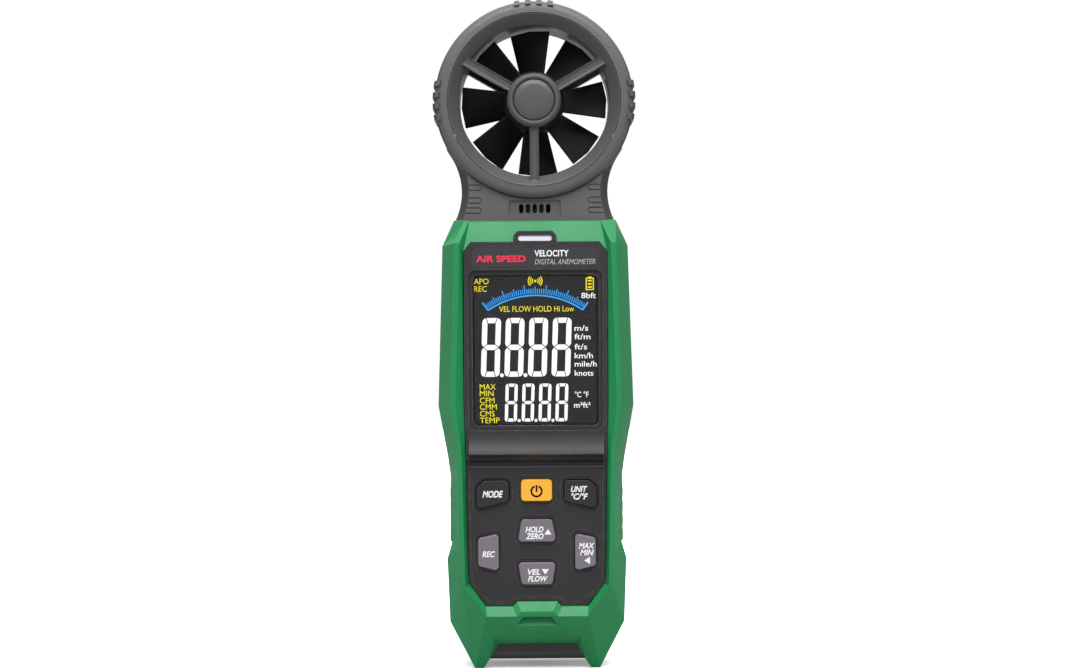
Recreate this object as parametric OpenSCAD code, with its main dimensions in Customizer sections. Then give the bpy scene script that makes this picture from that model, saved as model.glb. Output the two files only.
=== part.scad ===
// Vane anemometer: a handheld meter with a round fan head, a lit display and seven keys.
// Millimetres. +X is to the right, the face looks along -Y and +Z is up. The origin is
// on the ground between the feet, halfway through the depth of the body.

/* [Display] */
// Width of the display window
display_w = 40.8; // [38:0.2:60]
// Height of the display window
display_h = 49; // [42:0.5:70]
// Thickness of the display window
window_t = 1.4; // [1:0.1:2]
// Width of the recessed frame beside the window
recess_margin_x = 1.5; // [1:0.1:3]
// Height of the recessed frame above and below the window
recess_margin_z = 1.6; // [1:0.1:3]
// Depth of the recessed frame
recess_depth = 1.2; // [0.8:0.1:1.5]
// Thickness of the liquid crystal cell
cell_glass_t = 2.2; // [1.5:0.1:2.5]
// Thickness of the backlight
backlight_t = 3; // [2:0.1:3.5]

/* [Front panel] */
// Margin of the panel beside the display frame
panel_margin = 1.5; // [1:0.1:6]
// Height of the ledge below the panel, from the ground
panel_rise = 21.1; // [19:0.1:30]
// Height of the key field
keypad_h = 44.7; // [44:0.1:60]
// Height of the curved step between the keys and the display
step_h = 12.5; // [11:0.1:18]
// How far the tip of the step stands out of the bezel
step_rise = 2; // [1:0.1:2.4]
// Height of the title plate
title_h = 6.6; // [4:0.1:12]
// Gap between the display frame and the title plate
title_gap = 0.8; // [0.6:0.1:2]
// Bezel above the title plate
bezel_top = 1.7; // [1.5:0.1:4]
// Gap between the panel and the green cover
panel_gap = 0.2; // [0.1:0.05:0.4]
// Thickness of the key deck
deck_t = 2; // [1.6:0.1:2.2]
// Width of the indicator lens
indicator_w = 11.1; // [6:0.1:16]
// Height of the indicator lens
indicator_h = 1.8; // [1.2:0.1:2.4]

/* [Keys] */
// Travel of a key
key_travel = 0.8; // [0.4:0.1:0.9]
// How far a key stands out of the deck
key_proud = 1.4; // [1.2:0.1:1.8]
// Gap around a key
key_gap = 0.35; // [0.25:0.05:0.5]
// Corner radius of a key
key_corner = 1.2; // [0.6:0.1:1.5]
// Width of the power key
power_w = 10; // [8:0.1:11]
// Height of the power key
power_h = 7; // [6:0.1:8]
// Width of the mode and unit keys
side_key_w = 10.6; // [8:0.1:11]
// Width of the record and limit keys
cross_key_w = 6.8; // [6:0.1:7.5]

/* [Body] */
// Depth of the body over its front and rear ridges
body_d = 38; // [33:0.5:52]
// Height of the sloping shoulder above the bezel
shoulder_h = 7.4; // [6:0.1:14]
// Thickness of the green cover beside the housings
cover_t = 3; // [2.6:0.1:3.4]
// Wall of the two housings
wall = 1.8; // [1.4:0.1:2.2]
// Depth of the sloping flank, from its corner to the ridge
flank_d = 9; // [8:0.1:11]
// Clearance under the housings
base_z = 3.1; // [2:0.1:5]
// Half distance between the inner edges of the feet
foot_in = 17.6; // [14:0.1:18]
// Height of the arch between the feet
arch_h = 8.3; // [6:0.1:12]
// Number of grip ribs on each side
grip_ribs = 4; // [2:1:5]
// How far a grip rib stands out
grip_proud = 0.4; // [0.2:0.05:0.8]

/* [Head] */
// Radius of the air duct
duct_r = 24.8; // [23:0.1:32]
// Wall of the duct
duct_wall = 2; // [1.5:0.1:2.5]
// Width of the sloping band inside the front edge of the head
funnel_w = 3.5; // [2:0.1:4]
// Width of the rounded band outside the front edge of the head
band_w = 4.4; // [3:0.1:6]
// Depth of the head
head_d = 26; // [26:0.5:36]
// Gap from the shoulder to the lowest point of the head
neck_h = 6.6; // [6:0.1:14]
// Width of the neck at its narrowest
neck_w = 48.1; // [40:0.1:56]
// Depth of the neck
neck_d = 20.6; // [18:0.1:24]

/* [Rotor] */
// Number of blades
blades = 8; // [5:1:9]
// Gap between the blade tips and the duct
tip_gap = 0.6; // [0.4:0.1:1.5]
// Thickness of a blade
blade_t = 0.8; // [0.6:0.1:1.2]
// Radius of the impeller hub
rotor_hub_r = 10; // [8:0.1:11]
// Radius of the fixed hub in front of the impeller
hub_r = 8.9; // [8:0.1:10]
// Width of a spoke
spoke_w = 3; // [2:0.1:4]
// Radius of the rotor shaft
shaft_r = 0.97; // [0.7:0.01:1.2]
// Radial running clearance of the shaft in its bearings
shaft_clearance = 0.03; // [0.02:0.01:0.08]
// Outer radius of a bearing
bearing_r = 3; // [2.5:0.1:3.5]
// Thickness of a bearing
bearing_t = 2.5; // [2:0.1:3]

/* [Batteries] */
// Radius of a battery
battery_r = 5.25; // [4:0.05:5.4]
// Length of a battery with its button
battery_l = 44.5; // [30:0.5:48]
// Number of batteries
battery_count = 3; // [2:1:3]

/* [Fasteners] */
// Radius of the thread of the housing and cover screws
screw_r = 1.25; // [1:0.05:1.5]
// Radius of their heads
screw_head_r = 2.6; // [2.2:0.1:2.8]
// Radius of the tripod thread
tripod_r = 3.175; // [2.4:0.025:4]
// Depth of the tripod thread
tripod_l = 7; // [5:0.5:8]

/* [Hidden] */
$fn = 48;

// Colours
green = [0.13, 0.5, 0.3];
black = [0.16, 0.155, 0.165];
dark_grey = [0.3, 0.29, 0.3];
key_grey = [0.49, 0.46, 0.5];
amber = [0.98, 0.72, 0.2];
steel = [0.7, 0.7, 0.72];
copper_green = [0.1, 0.35, 0.2];

// A small allowance so that a cut passes through a face
cut = 0.5;
// A gap between pieces that face each other without touching
seat_gap = 0.1;

// Depths, from the front
y_front = -body_d / 2;
ridge_fall = 0.6;
bevel_d = 2.4;
y_ridge = y_front + ridge_fall;
y_edge = y_front + bevel_d;
y_flank = y_front + flank_d;
y_shoulder = -neck_d / 2 - 2.3;
y_bezel = y_front + 1.8;
y_recess = y_bezel + recess_depth;
window_drop = 0.4;
y_window = y_recess + window_drop;
y_window_seat = y_window + window_t;
y_lcd = y_window_seat + 0.8;
y_backlight = y_lcd + cell_glass_t;
y_deck = y_front + 4;
y_deck_back = y_deck + deck_t;
y_tray = y_front + 7.8;
y_tray_in = y_tray + wall;
y_board = y_backlight + backlight_t + 2;
board_t = 1.6;
y_board_back = y_board + board_t;

// Depths, from the back
y_back = body_d / 2;
y_rear_tray = -y_tray;
y_plateau = y_back - 2.4;
lid_t = 1.9;
y_lid = y_plateau - lid_t;
y_battery = y_lid - seat_gap - battery_r - 0.2;
y_battery_floor = y_battery - battery_r - 0.4;

// Heights, from the ground
z_ridge_foot = panel_rise - 4.1;
z_deck_top = panel_rise + keypad_h;
z_recess = z_deck_top + step_h;
z_window = z_recess + recess_margin_z;
z_window_top = z_window + display_h;
z_recess_top = z_window_top + recess_margin_z;
z_title = z_recess_top + title_gap;
z_title_top = z_title + title_h;
z_bezel_top = z_title_top + bezel_top;
z_top = z_bezel_top + shoulder_h;

// Head
ridge_r = duct_r + funnel_w + 0.2;
ring_r = ridge_r + band_w - 0.2;
z_head = z_top + neck_h + ring_r;
z_neck = z_top + 9.5;
neck_flare = 41;

// Widths
panel_half = display_w / 2 + recess_margin_x + panel_margin;

// One row of the side outline: the corners on the flank, on the outer and inner edges of
// the ridge and on the edge of the panel, each as [x, z]
function row(z_flank, z_out, z_in, z_edge, taper, bevel, ridge, flank) =
    let (edge = panel_half - taper)
    [
        [edge + bevel + ridge + flank, z_flank],
        [edge + bevel + ridge, z_out],
        [edge + bevel, z_in],
        [edge, z_edge]
    ];

// The rows, from the top corner down to the toe
side_rows = [
    row(z_top, z_top - 0.4, z_top - 0.4, z_top - 0.5, 2, 0.1, 1.6, 3.4),
    row(z_bezel_top - 1.1, z_bezel_top - 0.4, z_bezel_top - 0.4, z_bezel_top - 3.1, 0, 1.1, 1.8, 4.1),
    row(z_recess + 8, z_recess + 9.1, z_recess + 9.1, z_recess + 9.1, 0, 2.8, 1.6, 4.2),
    row(z_deck_top + 3.8, z_deck_top + 7.4, z_deck_top + 7.6, z_deck_top + 7.4, 0.4, 1.4, 1.2, 3.4),
    row(z_deck_top - 2.1, z_deck_top - 3.4, z_deck_top - 3.4, z_deck_top - 3.4, 0.5, 1.1, 1.5, 2.7),
    row(panel_rise + 20.9, panel_rise + 20.9, panel_rise + 20.9, panel_rise + 20.9, 0.7, 0.9, 1.6, 2.5),
    row(panel_rise + 15, panel_rise + 13.9, panel_rise + 13.9, panel_rise + 13.9, 0.9, 0.9, 1.3, 4.7),
    row(panel_rise - 5.7, panel_rise + 6.8, panel_rise + 6.8, panel_rise + 7.5, 1.2, 1, 1.1, 4.3),
    row(0, z_ridge_foot, z_ridge_foot + 1.2, panel_rise, 6.8, -0.2, 0.6, 3.5)
];
last_row = len(side_rows) - 1;
ledge_out = 8;
ledge_in = 6.5;
ledge_rise = 1.6;
ledge_taper = 1.3;
ledge_drop = 2.9;

// The raised ledge in the middle of the panel's lower edge, as a half outline
edge_ledge = [[ledge_out, panel_rise], [ledge_in, panel_rise + ledge_rise]];

// A whole outline from its right half, listed from the top to the bottom
function both(half) =
    concat(half, [for (i = [len(half) - 1:-1:0]) [-half[i][0], half[i][1]]]);
function side(k) = [for (i = [1:last_row]) side_rows[i][k]];
// The outline at one level of the side rows
function level(k) = both(concat([side_rows[0][k]], side(k)));
// The same in space, with its own depth at the two top corners
function ring(points, y, y_top) =
    let (last = len(points) - 1)
    [for (i = [0:last]) [points[i][0], i == 0 || i == last ? y_top : y, points[i][1]]];

// One end of a loft: a strip of triangles between the right and the left half of a ring
function strip(first, n, i) = [
    [first + i, first + i + 1, first + n - 2 - i],
    [first + i, first + n - 2 - i, first + n - 1 - i]
];
function turn(faces) = [for (face = faces) [for (i = [len(face) - 1:-1:0]) face[i]]];

// A closed solid through rings of equal length, listed from the front to the back. The
// points of a ring go clockwise as seen from the front, from the top right corner.
module loft(rings) {
    n = len(rings[0]);
    last = (len(rings) - 1) * n;
    polyhedron(
        points = [for (r = rings) each r],
        faces = concat(
            [for (i = [0:n / 2 - 2]) each strip(0, n, i)],
            [for (k = [0:len(rings) - 2], i = [0:n - 1])
                each [
                    [k * n + i, (k + 1) * n + i, k * n + (i + 1) % n],
                    [k * n + (i + 1) % n, (k + 1) * n + i, (k + 1) * n + (i + 1) % n]
                ]],
            [for (i = [0:n / 2 - 2]) each turn(strip(last, n, i))]
        ),
        convexity = 8
    );
}

// An upright outline in X and Z, thickened from y0 to y1
module slab(y0, y1) {
    translate([0, y1, 0]) rotate([90, 0, 0]) linear_extrude(y1 - y0, convexity = 8) children();
}
// A round bar or hole along Y
module bar(x, z, r, y0, y1) {
    translate([x, y1, z]) rotate([90, 0, 0]) cylinder(r = r, h = y1 - y0);
}
// A profile of [radius, y] points turned around the axis of the head
module turned(profile) {
    translate([0, 0, z_head]) rotate([-90, 0, 0]) rotate_extrude($fn = 96) polygon(profile);
}
module rounded(r) {
    offset(r = r, $fn = 24) offset(delta = -r) children();
}
module rect(w, z0, z1) {
    translate([-w / 2, z0]) square([w, z1 - z0]);
}
module mirrored() {
    children();
    mirror([1, 0, 0]) children();
}
module rear() {
    mirror([0, 1, 0]) children();
}

// Housings

housing_screws_at = [[panel_half - 5.6, z_bezel_top - 4.2], [panel_half - 8.2, panel_rise + 3.8]];
board_screws_at = [[12, z_title + 3.2], [panel_half - 3.9, z_deck_top + 6.2]];
boss_r = 3.2;
post_r = 2.2;

function inset(p) = [p[0] - cover_t, p[1]];
toe_x = side_rows[last_row][0][0];
heel = side_rows[last_row - 1][0];
// The housings stand inside the green covers, down to their own flat base
function housing_outline(z_end) = both(concat(
    [[side_rows[0][0][0] - cover_t, z_end], [side_rows[0][0][0] - cover_t, z_top - 0.2]],
    [for (i = [1:last_row - 2]) inset(side_rows[i][0])],
    [[heel[0] - cover_t, heel[1] + 1.2], [toe_x - 1.8, base_z]]
));

function inner(points, t) = [for (p = points) [p[0] - sign(p[0]) * t, p[1]]];
// The slope of the toe, from the ground to the foot of the ridge
toe_slope = (y_flank - y_ridge) / z_ridge_foot;
toe_back = 1.5;

// The outside of a housing half below the neck, with its front edge cut back at the toe
module tray_block(y_face, z_end = z_top, y_end = 0) {
    difference() {
        slab(y_face, y_end) polygon(housing_outline(z_end));
        rotate([0, 90, 0])
            linear_extrude(4 * panel_half, center = true)
            polygon([
                [-base_z + 1, y_flank + toe_back - toe_slope * (base_z - 1)],
                [-base_z - 12, y_flank + toe_back - toe_slope * (base_z + 12)],
                [-base_z + 1, y_front - 10]
            ]);
    }
}

neck_step = 2;
neck_top = z_head - ring_r * 0.47;
neck_side = 2.5;
neck_side_d = 4.5;
function neck_half(z) = neck_w / 2 + pow(z - z_neck, 2) / neck_flare;
neck_count = round((neck_top - z_top) / neck_step);
neck_heights = [for (i = [neck_count:-1:0]) z_top + i * (neck_top - z_top) / neck_count];
function neck_ring(y, narrow) =
    let (half = [for (z = neck_heights) [neck_half(z) - narrow, z]])
    [for (p = both(half)) [p[0], y, p[1]]];

// The neck rises from the top of the covers into the head
module neck_block(y_face) {
    loft([
        neck_ring(-y_face, neck_side),
        neck_ring(-y_face + neck_side_d, 0),
        neck_ring(0, 0)
    ]);
}

// Outer shell of the head, an open channel whose inner wall is the guard's duct
band_steps = 6;
y_rim = -head_d / 2;
function band(grow, first = 0) = [
    for (i = [first:band_steps])
    let (a = 90 * i / band_steps)
    [ridge_r + (ring_r - ridge_r) * pow(sin(a), 0.8) + grow * sin(a), y_rim + band_w * (1 - pow(cos(a), 0.8)) - grow * cos(a)]
];
shell_t = 2;
module head_shell() {
    turned(concat(
        [[ridge_r, y_rim + shell_t + 0.6]],
        band(0),
        [[ring_r, 0], [ring_r - shell_t, 0], [ring_r - shell_t, y_rim + shell_t + 3.2], [ring_r - shell_t - 1.6, y_rim + shell_t + 0.6]]
    ));
}

// Groups of four short ribs at the top and at both sides of the head
rib_pitch = 3.7;
rib_w = 1.8;
rib_proud = 0.7;
rib_start = 2;
module head_ribs() {
    intersection() {
        turned(concat(
            [[ridge_r + 2.2, y_rim + 2]],
            band(rib_proud, rib_start),
            [[ring_r + rib_proud, 0], [ring_r - 1, 0]]
        ));
        translate([0, 0, z_head])
            for (a = [0, 90, -90], i = [-1.5:1:1.5])
                rotate([0, a, 0])
                translate([i * rib_pitch - rib_w / 2, -head_d, ridge_r - 3])
                cube([rib_w, head_d + cut, ring_r]);
    }
}

// Thumb pads: three round-ended shapes on each side of the neck, outlined by a groove
pad_h = 2.2;
pad_in = 17.3;
pad_depth = 0.45;
pad_line = 0.45;
pads_z = [z_top + 3.2, z_top + 6.5, z_top + 10.7];
module pad_outline(z, h) {
    translate([pad_in + pad_h / 2, z]) {
        circle(h / 2);
        translate([0, -h / 2]) square([neck_w, h]);
    }
}
module neck_pads(y_face) {
    mirrored()
        slab(y_face - cut, y_face + pad_depth)
        for (z = pads_z)
            difference() {
                pad_outline(z, pad_h);
                pad_outline(z, pad_h - 2 * pad_line);
            }
}

vent_z = z_top + 3.8;
vent_slots = 5;
vent_pitch = 2.2;
vent_w = 1.5;
vent_h = 3;
vent_depth = 0.7;
module vent_cut(y_face) {
    slab(y_face - cut, y_face + vent_depth)
        polygon(both([[8.4, vent_z + 2.7], [8.85, vent_z - 2.2]]));
    for (i = [0:vent_slots - 1]) {
        x = (i - (vent_slots - 1) / 2) * vent_pitch;
        for (s = [-1, 1])
            bar(x, vent_z + s * (vent_h - vent_w) / 2, vent_w / 2, y_face - cut, y_face + wall + cut);
        translate([x - vent_w / 2, y_face - cut, vent_z - (vent_h - vent_w) / 2])
            cube([vent_w, wall + 2 * cut, vent_h - vent_w]);
    }
}

neck_room_w = 40;
neck_room_z = z_top - 4;
lead_slot_w = 5;
// Half of the black housing: tray, neck and head shell, without its bosses
module half_housing(y_face) {
    y_neck = -neck_d / 2;
    difference() {
        union() {
            difference() {
                union() {
                    tray_block(y_face);
                    neck_block(neck_d / 2);
                }
                bar(0, z_head, ring_r - 1, y_rim - cut, cut);
            }
            head_shell();
            head_ribs();
        }
        // room inside the tray
        slab(y_face + wall, cut)
            intersection() {
                polygon(inner(housing_outline(z_top), wall));
                rect(4 * panel_half, base_z + wall, z_top - wall);
            }
        // room inside the neck, open to the tray and the head
        difference() {
            translate([-neck_room_w / 2, y_neck + wall, neck_room_z])
                cube([neck_room_w, neck_d, z_head - ring_r * 0.75 - neck_room_z]);
            bar(0, z_head, ring_r, y_rim, 2 * cut);
        }
        translate([-lead_slot_w / 2, -lead_slot_w / 2, z_head - ring_r - 1])
            cube([lead_slot_w, lead_slot_w, shell_t + 1.4]);
        neck_pads(y_neck);
    }
}

lcd_room_w = display_w + 3;
module front_housing() {
    color(dark_grey)
    difference() {
        union() {
            half_housing(y_tray);
            mirrored() {
                for (p = housing_screws_at) bar(p[0], p[1], boss_r, y_tray_in - seat_gap, 0);
                for (p = board_screws_at) bar(p[0], p[1], post_r, y_tray_in - seat_gap, y_board);
            }
        }
        vent_cut(-neck_d / 2);
        mirrored() {
            for (p = housing_screws_at) bar(p[0], p[1], screw_r, -housing_screw_grip, cut);
            for (p = board_screws_at) bar(p[0], p[1], board_screw_r, y_board - board_screw_grip, y_board + cut);
        }
        // window for the display module
        slab(y_tray - cut, y_tray_in + cut) rect(lcd_room_w + 0.4, z_recess + 0.1, z_recess_top + 0.1);
        // openings for the keys, and for the lens of the indicator
        slab(y_tray - cut, y_tray_in + cut) {
            rect(2 * panel_half - 5.2, panel_rise + 9, z_deck_top - 1.8);
            rect(16, panel_rise + 5.6, panel_rise + 10);
        }
        slab(y_tray - cut, y_tray_in + cut)
            rect(indicator_w - 4, z_indicator - 1, z_indicator + 1);
    }
}

// Rear housing, with the battery box

battery_pitch = 2 * battery_r + 0.3;
contact_t = 0.5;
spring_l = 4.5;
box_w = battery_count * battery_pitch + 0.6;
box_l = battery_l + spring_l + 2 * contact_t;
box_z = panel_rise + 11;
box_wall = 1.4;
lid_w = box_w + 4.4;
lid_z = box_z - 3.6;
lid_l = box_l + 12.1;
lid_gap = 0.2;
cover_screw_z = box_z + box_l + 5;
tripod_z = z_recess + 26;
tripod_wall = 1.3;
boss_t = 2;
housing_screw_grip = 5;
screw_head_y = y_plateau - 3.4;
screw_head_t = 1.8;

rear_outline = both(concat(
    [[panel_half - 2.5, z_bezel_top]],
    [for (p = side(3)) p]
));

module lid_outline(gap) {
    rounded(2) rect(lid_w + 2 * gap, lid_z - gap, lid_z + lid_l + gap);
}

// What stands behind the back wall: the battery box and the bosses
module solid_backs() {
    mirrored() for (p = housing_screws_at) bar(p[0], p[1], boss_r + 0.4, 0, y_plateau);
    translate([-box_w / 2 - box_wall, y_battery_floor - box_wall, box_z - box_wall - 3])
        cube([box_w + 2 * box_wall, y_plateau, box_l + 2 * box_wall + 6]);
    bar(0, cover_screw_z, boss_r, y_battery_floor, y_plateau);
    bar(0, tripod_z, tripod_r + tripod_wall + boss_t, y_plateau - tripod_l - boss_t, y_plateau);
}

module rear_housing() {
    color(black)
    difference() {
        union() {
            rear() half_housing(-y_rear_tray);
            slab(y_rear_tray - cut, y_plateau) polygon(inner(rear_outline, panel_gap));
            intersection() {
                solid_backs();
                union() {
                    slab(0, y_rear_tray - cut) polygon(inner(housing_outline(z_top), wall / 2));
                    slab(0, y_plateau - cut) polygon(inner(rear_outline, wall));
                }
            }
        }
        difference() {
            slab(y_rear_tray - wall - cut, y_plateau - wall) polygon(inner(rear_outline, wall + 0.4));
            solid_backs();
        }
        translate([-box_w / 2, y_battery_floor, box_z])
            cube([box_w, body_d, box_l]);
        slab(y_lid - seat_gap, y_back) lid_outline(lid_gap);
        bar(0, cover_screw_z, screw_r + 0.2, y_battery_floor + 1, y_back);
        bar(0, tripod_z, tripod_r + tripod_wall, y_plateau - tripod_l, y_back);
        mirrored()
            for (p = housing_screws_at) {
                bar(p[0], p[1], screw_r + 0.25, -cut, y_back);
                bar(p[0], p[1], screw_head_r + 0.4, screw_head_y, y_back);
            }
    }
}

// Green covers

notch_half = [4.6, 6.9];
notch_z = [z_ridge_foot + 1, z_ridge_foot - 2.2];
notch_d = 2.1;
rib_tilt = 28;
grip_rib_w = 3;
rib_end = 0.6;
// Step between the foot of the bevel and the opening for the panel
well_step = 0.05;

// The full outside of a half: straight sides, sloping flanks and the ridge, whose outer
// edge falls back a little in the front
module cover_block(fall) {
    loft([
        ring(level(2), y_front, y_shoulder - 0.3),
        ring(level(1), y_front + fall, y_shoulder),
        ring(level(0), y_flank, y_flank),
        ring(level(0), 0, 0)
    ]);
}

// The well inside the ridge, with its sloping walls
well_reach = 10;
module cover_well() {
    loft([
        ring(level(2), y_front - well_reach, y_front - well_reach),
        ring(level(2), y_front, y_shoulder - 0.3),
        ring(level(3), y_edge, y_shoulder - 0.2)
    ]);
}

// The ledge that stands in the well: its outline at a share of the way to the panel
function ledge_ring(share, y) =
    let (
        shift = (1 - share) * [ledge_taper, ledge_drop],
        top = edge_ledge[1] - shift,
        foot = 2 * edge_ledge[0] - edge_ledge[1] - shift
    )
    [for (p = both([top, foot])) [p[0], y, p[1]]];
module ledge() {
    past = 1.2;
    loft([
        ledge_ring(0, y_front - well_reach - cut),
        ledge_ring(0, y_front),
        ledge_ring(past, y_front + past * bevel_d)
    ]);
}

// The arch between the feet, widened by a chamfer where it meets the toe
arch_slope = (foot_in - 12.7) / arch_h;
arch_y = y_flank - 1.5;
function arch_half(grow) = [
    [foot_in - arch_slope * (arch_h + grow) + grow, arch_h + grow],
    [foot_in + arch_slope * 2 + grow, -2]
];
module arch_cut() {
    slab(y_front - 1, 1) polygon(both(arch_half(0)));
    loft([
        [for (p = both(arch_half(6))) [p[0], arch_y - 8.2, p[1]]],
        [for (p = both(arch_half(0))) [p[0], arch_y, p[1]]],
    ]);
}

// Slanting ribs on the sides, where the fingers hold the body
module side_grips() {
    z0 = side_rows[5][0][1] + 1.5;
    z1 = side_rows[4][0][1] - 1.5;
    x0 = (side_rows[5][0][0] + side_rows[4][0][0]) / 2;
    mirrored()
        intersection() {
            translate([0, y_front, 0]) cube([body_d * 2, -y_front - rib_end, z_top]);
            for (i = [0:grip_ribs - 1])
                translate([x0 - 1 + grip_proud, y_flank + 5, z0 + (i + 0.5) * (z1 - z0) / grip_ribs])
                rotate([rib_tilt, 0, 0])
                linear_extrude(grip_rib_w, center = true)
                polygon([[-1, -8], [-0.6, -8], [1, -5.5], [1, 12], [-1, 12]]);
        }
}

module cover_half(fall) {
    difference() {
        union() {
            cover_block(fall);
            side_grips();
        }
        difference() {
            cover_well();
            if (fall > 0) ledge();
        }
        arch_cut();
    }
}

module front_cover() {
    color(green)
    difference() {
        cover_half(ridge_fall);
        tray_block(y_tray, z_top + cut, cut);
        slab(y_front - cut, y_tray + cut) polygon(panel_outline(-well_step));
        // finger notch below the ledge
        loft([
            [for (p = both([[notch_half[0], notch_z[0]], [notch_half[1], notch_z[1]]])) [p[0], y_front - 5, p[1]]],
            [[notch_half[0], y_ridge + notch_d, notch_z[0]], [notch_half[1], y_ridge + 1, notch_z[1]],
             [-notch_half[1], y_ridge + 1, notch_z[1]], [-notch_half[0], y_ridge + notch_d, notch_z[0]]]
        ]);
    }
}

module rear_cover() {
    color(green)
    rear()
    difference() {
        cover_half(0);
        tray_block(-y_rear_tray, z_top + cut, cut);
        slab(y_front - cut, -y_rear_tray + cut) polygon(rear_outline);
    }
}

// Front panel

z_indicator = z_bezel_top + 1.1;
bump_top = z_indicator + 2.5;
bump_half = indicator_w / 2;
bump_side = 1.4;
function panel_outline(gap) = both(concat(
    [
        [bump_half - gap, bump_top - gap],
        [bump_half + bump_side - gap, bump_top - bump_side],
        [bump_half + bump_side - gap, z_bezel_top - gap],
        [panel_half - 2.5 - gap, z_bezel_top - gap]
    ],
    [for (i = [1:last_row]) side_rows[i][3] + [-gap, i == last_row ? gap : 0]],
    [for (p = edge_ledge) p + [gap, gap]]
));

// The step below the display: a hollow ramp that rises to a tip above the keys
step_tip = z_deck_top + 5.2;
step_top = z_recess - 0.5;
step_foot = z_deck_top + 1.8;
step_arc = 5;
ramp = [
    for (i = [0:step_arc])
    let (t = i / step_arc)
    [step_top - (step_top - step_tip) * t, y_bezel - step_rise * pow(t, 1.7)]
];
step_end = 1.6;

// Shallow pockets around the keys, and a groove along the border of the deck
pocket_w = 1.25;
pocket_d = 0.45;
groove_in = 1;
groove_w = 0.3;
groove_d = 0.35;
lip_h = 0.8;
lip_d = 0.7;
module key_pockets() {
    for (k = [0:6]) offset(r = pocket_w, $fn = 24) key_outline(k);
}
module deck_groove() {
    intersection() {
        difference() {
            polygon(panel_outline(groove_in));
            polygon(panel_outline(groove_in + groove_w));
        }
        rect(4 * panel_half, 0, z_deck_top - 0.4);
    }
}
// The deck ends at the top in a slope that falls back to the foot of the step
module deck_lip() {
    rotate([0, 90, 0])
        linear_extrude(2 * (panel_half - groove_in - 0.2), center = true)
        polygon([
            [-z_deck_top, y_deck - cut], [-z_deck_top, y_deck], [-z_deck_top - lip_h, y_deck + lip_d],
            [-step_foot, y_deck + lip_d], [-step_foot, y_deck - cut]
        ]);
}

module front_panel() {
    panel_in = panel_outline(panel_gap);
    color(black)
    difference() {
        union() {
            slab(y_deck, y_tray) polygon(panel_in);
            slab(y_bezel, y_tray)
                intersection() {
                    polygon(panel_in);
                    rect(4 * panel_half, step_foot + 1.5, z_top);
                }
            // the step
            rotate([0, 90, 0])
                linear_extrude(2 * (panel_half - step_end), center = true)
                polygon(concat(
                    [[-step_top, y_deck]],
                    [for (p = ramp) [-p[0], p[1]]],
                    [[-step_tip + 0.4, y_bezel - step_rise], [-step_foot, y_deck]]
                ));
        }
        // display frame, window pocket, view and the pocket for the display module
        slab(y_bezel - cut, y_recess) rounded(2.5) rect(display_w + 2 * recess_margin_x, z_recess, z_recess_top);
        slab(y_recess - cut, y_window_seat) rounded(2) rect(display_w + 0.2, z_window - 0.1, z_window_top + 0.1);
        slab(y_window_seat - cut, y_tray) rounded(1.5) rect(display_w - 1, z_window + 0.5, z_window_top - 0.5);
        slab(y_lcd - 0.2, y_tray + cut) rect(lcd_room_w + 0.2, z_recess + 0.2, z_recess_top);
        // title plate pocket
        slab(y_bezel - cut, y_bezel + title_t + 0.1) title_outline(0.1);
        // indicator lens
        slab(y_bezel - cut, y_tray + cut) stadium(indicator_w, indicator_h, z_indicator);
        // room behind the deck
        slab(y_deck_back, y_tray + cut) rect(2 * panel_half - 5.2, panel_rise + 9, z_deck_top - 1.8);
        slab(y_deck_back, y_tray + cut) rect(16, panel_rise + 5.6, panel_rise + 10);
        slab(y_deck_back, y_tray + cut) rect(2 * panel_half - 8, z_deck_top + 0.5, z_recess - 1.8);
        // details of the deck, and the openings of the keys
        slab(y_deck - cut, y_deck + pocket_d) key_pockets();
        slab(y_deck - cut, y_deck + groove_d) deck_groove();
        deck_lip();
        for (k = [0:6]) slab(y_deck - cut, y_deck_back + cut) key_shape(k, key_gap);
    }
}

module display_window() {
    color([0.12, 0.11, 0.12, 0.6])
    slab(y_window, y_window_seat) rounded(2) rect(display_w, z_window, z_window_top);
}

title_t = 0.5;
title_corner = 1.5;
module title_outline(gap) {
    w = display_w + 0.4 + 2 * gap;
    translate([0, z_title - gap]) {
        translate([-w / 2, 0]) square([w, title_h - title_corner + gap]);
        translate([-w / 2 + title_corner, 0]) square([w - 2 * title_corner, title_h + 2 * gap]);
        for (s = [-1, 1])
            translate([s * (w / 2 - title_corner), title_h - title_corner + 2 * gap]) circle(title_corner);
    }
}
module title_plate() {
    color([0.2, 0.19, 0.2])
    slab(y_bezel + 0.1, y_bezel + 0.1 + title_t) title_outline(0);
}

module stadium(w, h, z) {
    translate([0, z]) {
        square([w - h, h], center = true);
        for (s = [-1, 1]) translate([s * (w - h) / 2, 0]) circle(h / 2);
    }
}
module indicator_lens() {
    color("white") {
        slab(y_bezel + 0.3, y_tray) stadium(indicator_w - 0.1, indicator_h - 0.1, z_indicator);
        slab(y_tray - cut, y_tray_in + 0.4) rect(indicator_w - 4.4, z_indicator - 0.8, z_indicator + 0.8);
    }
}
module indicator_led() {
    color("white")
    translate([-1.6, y_board - 1.1, z_indicator - 0.8]) cube([3.2, 1.1, 1.6]);
}

// Display module

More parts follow.
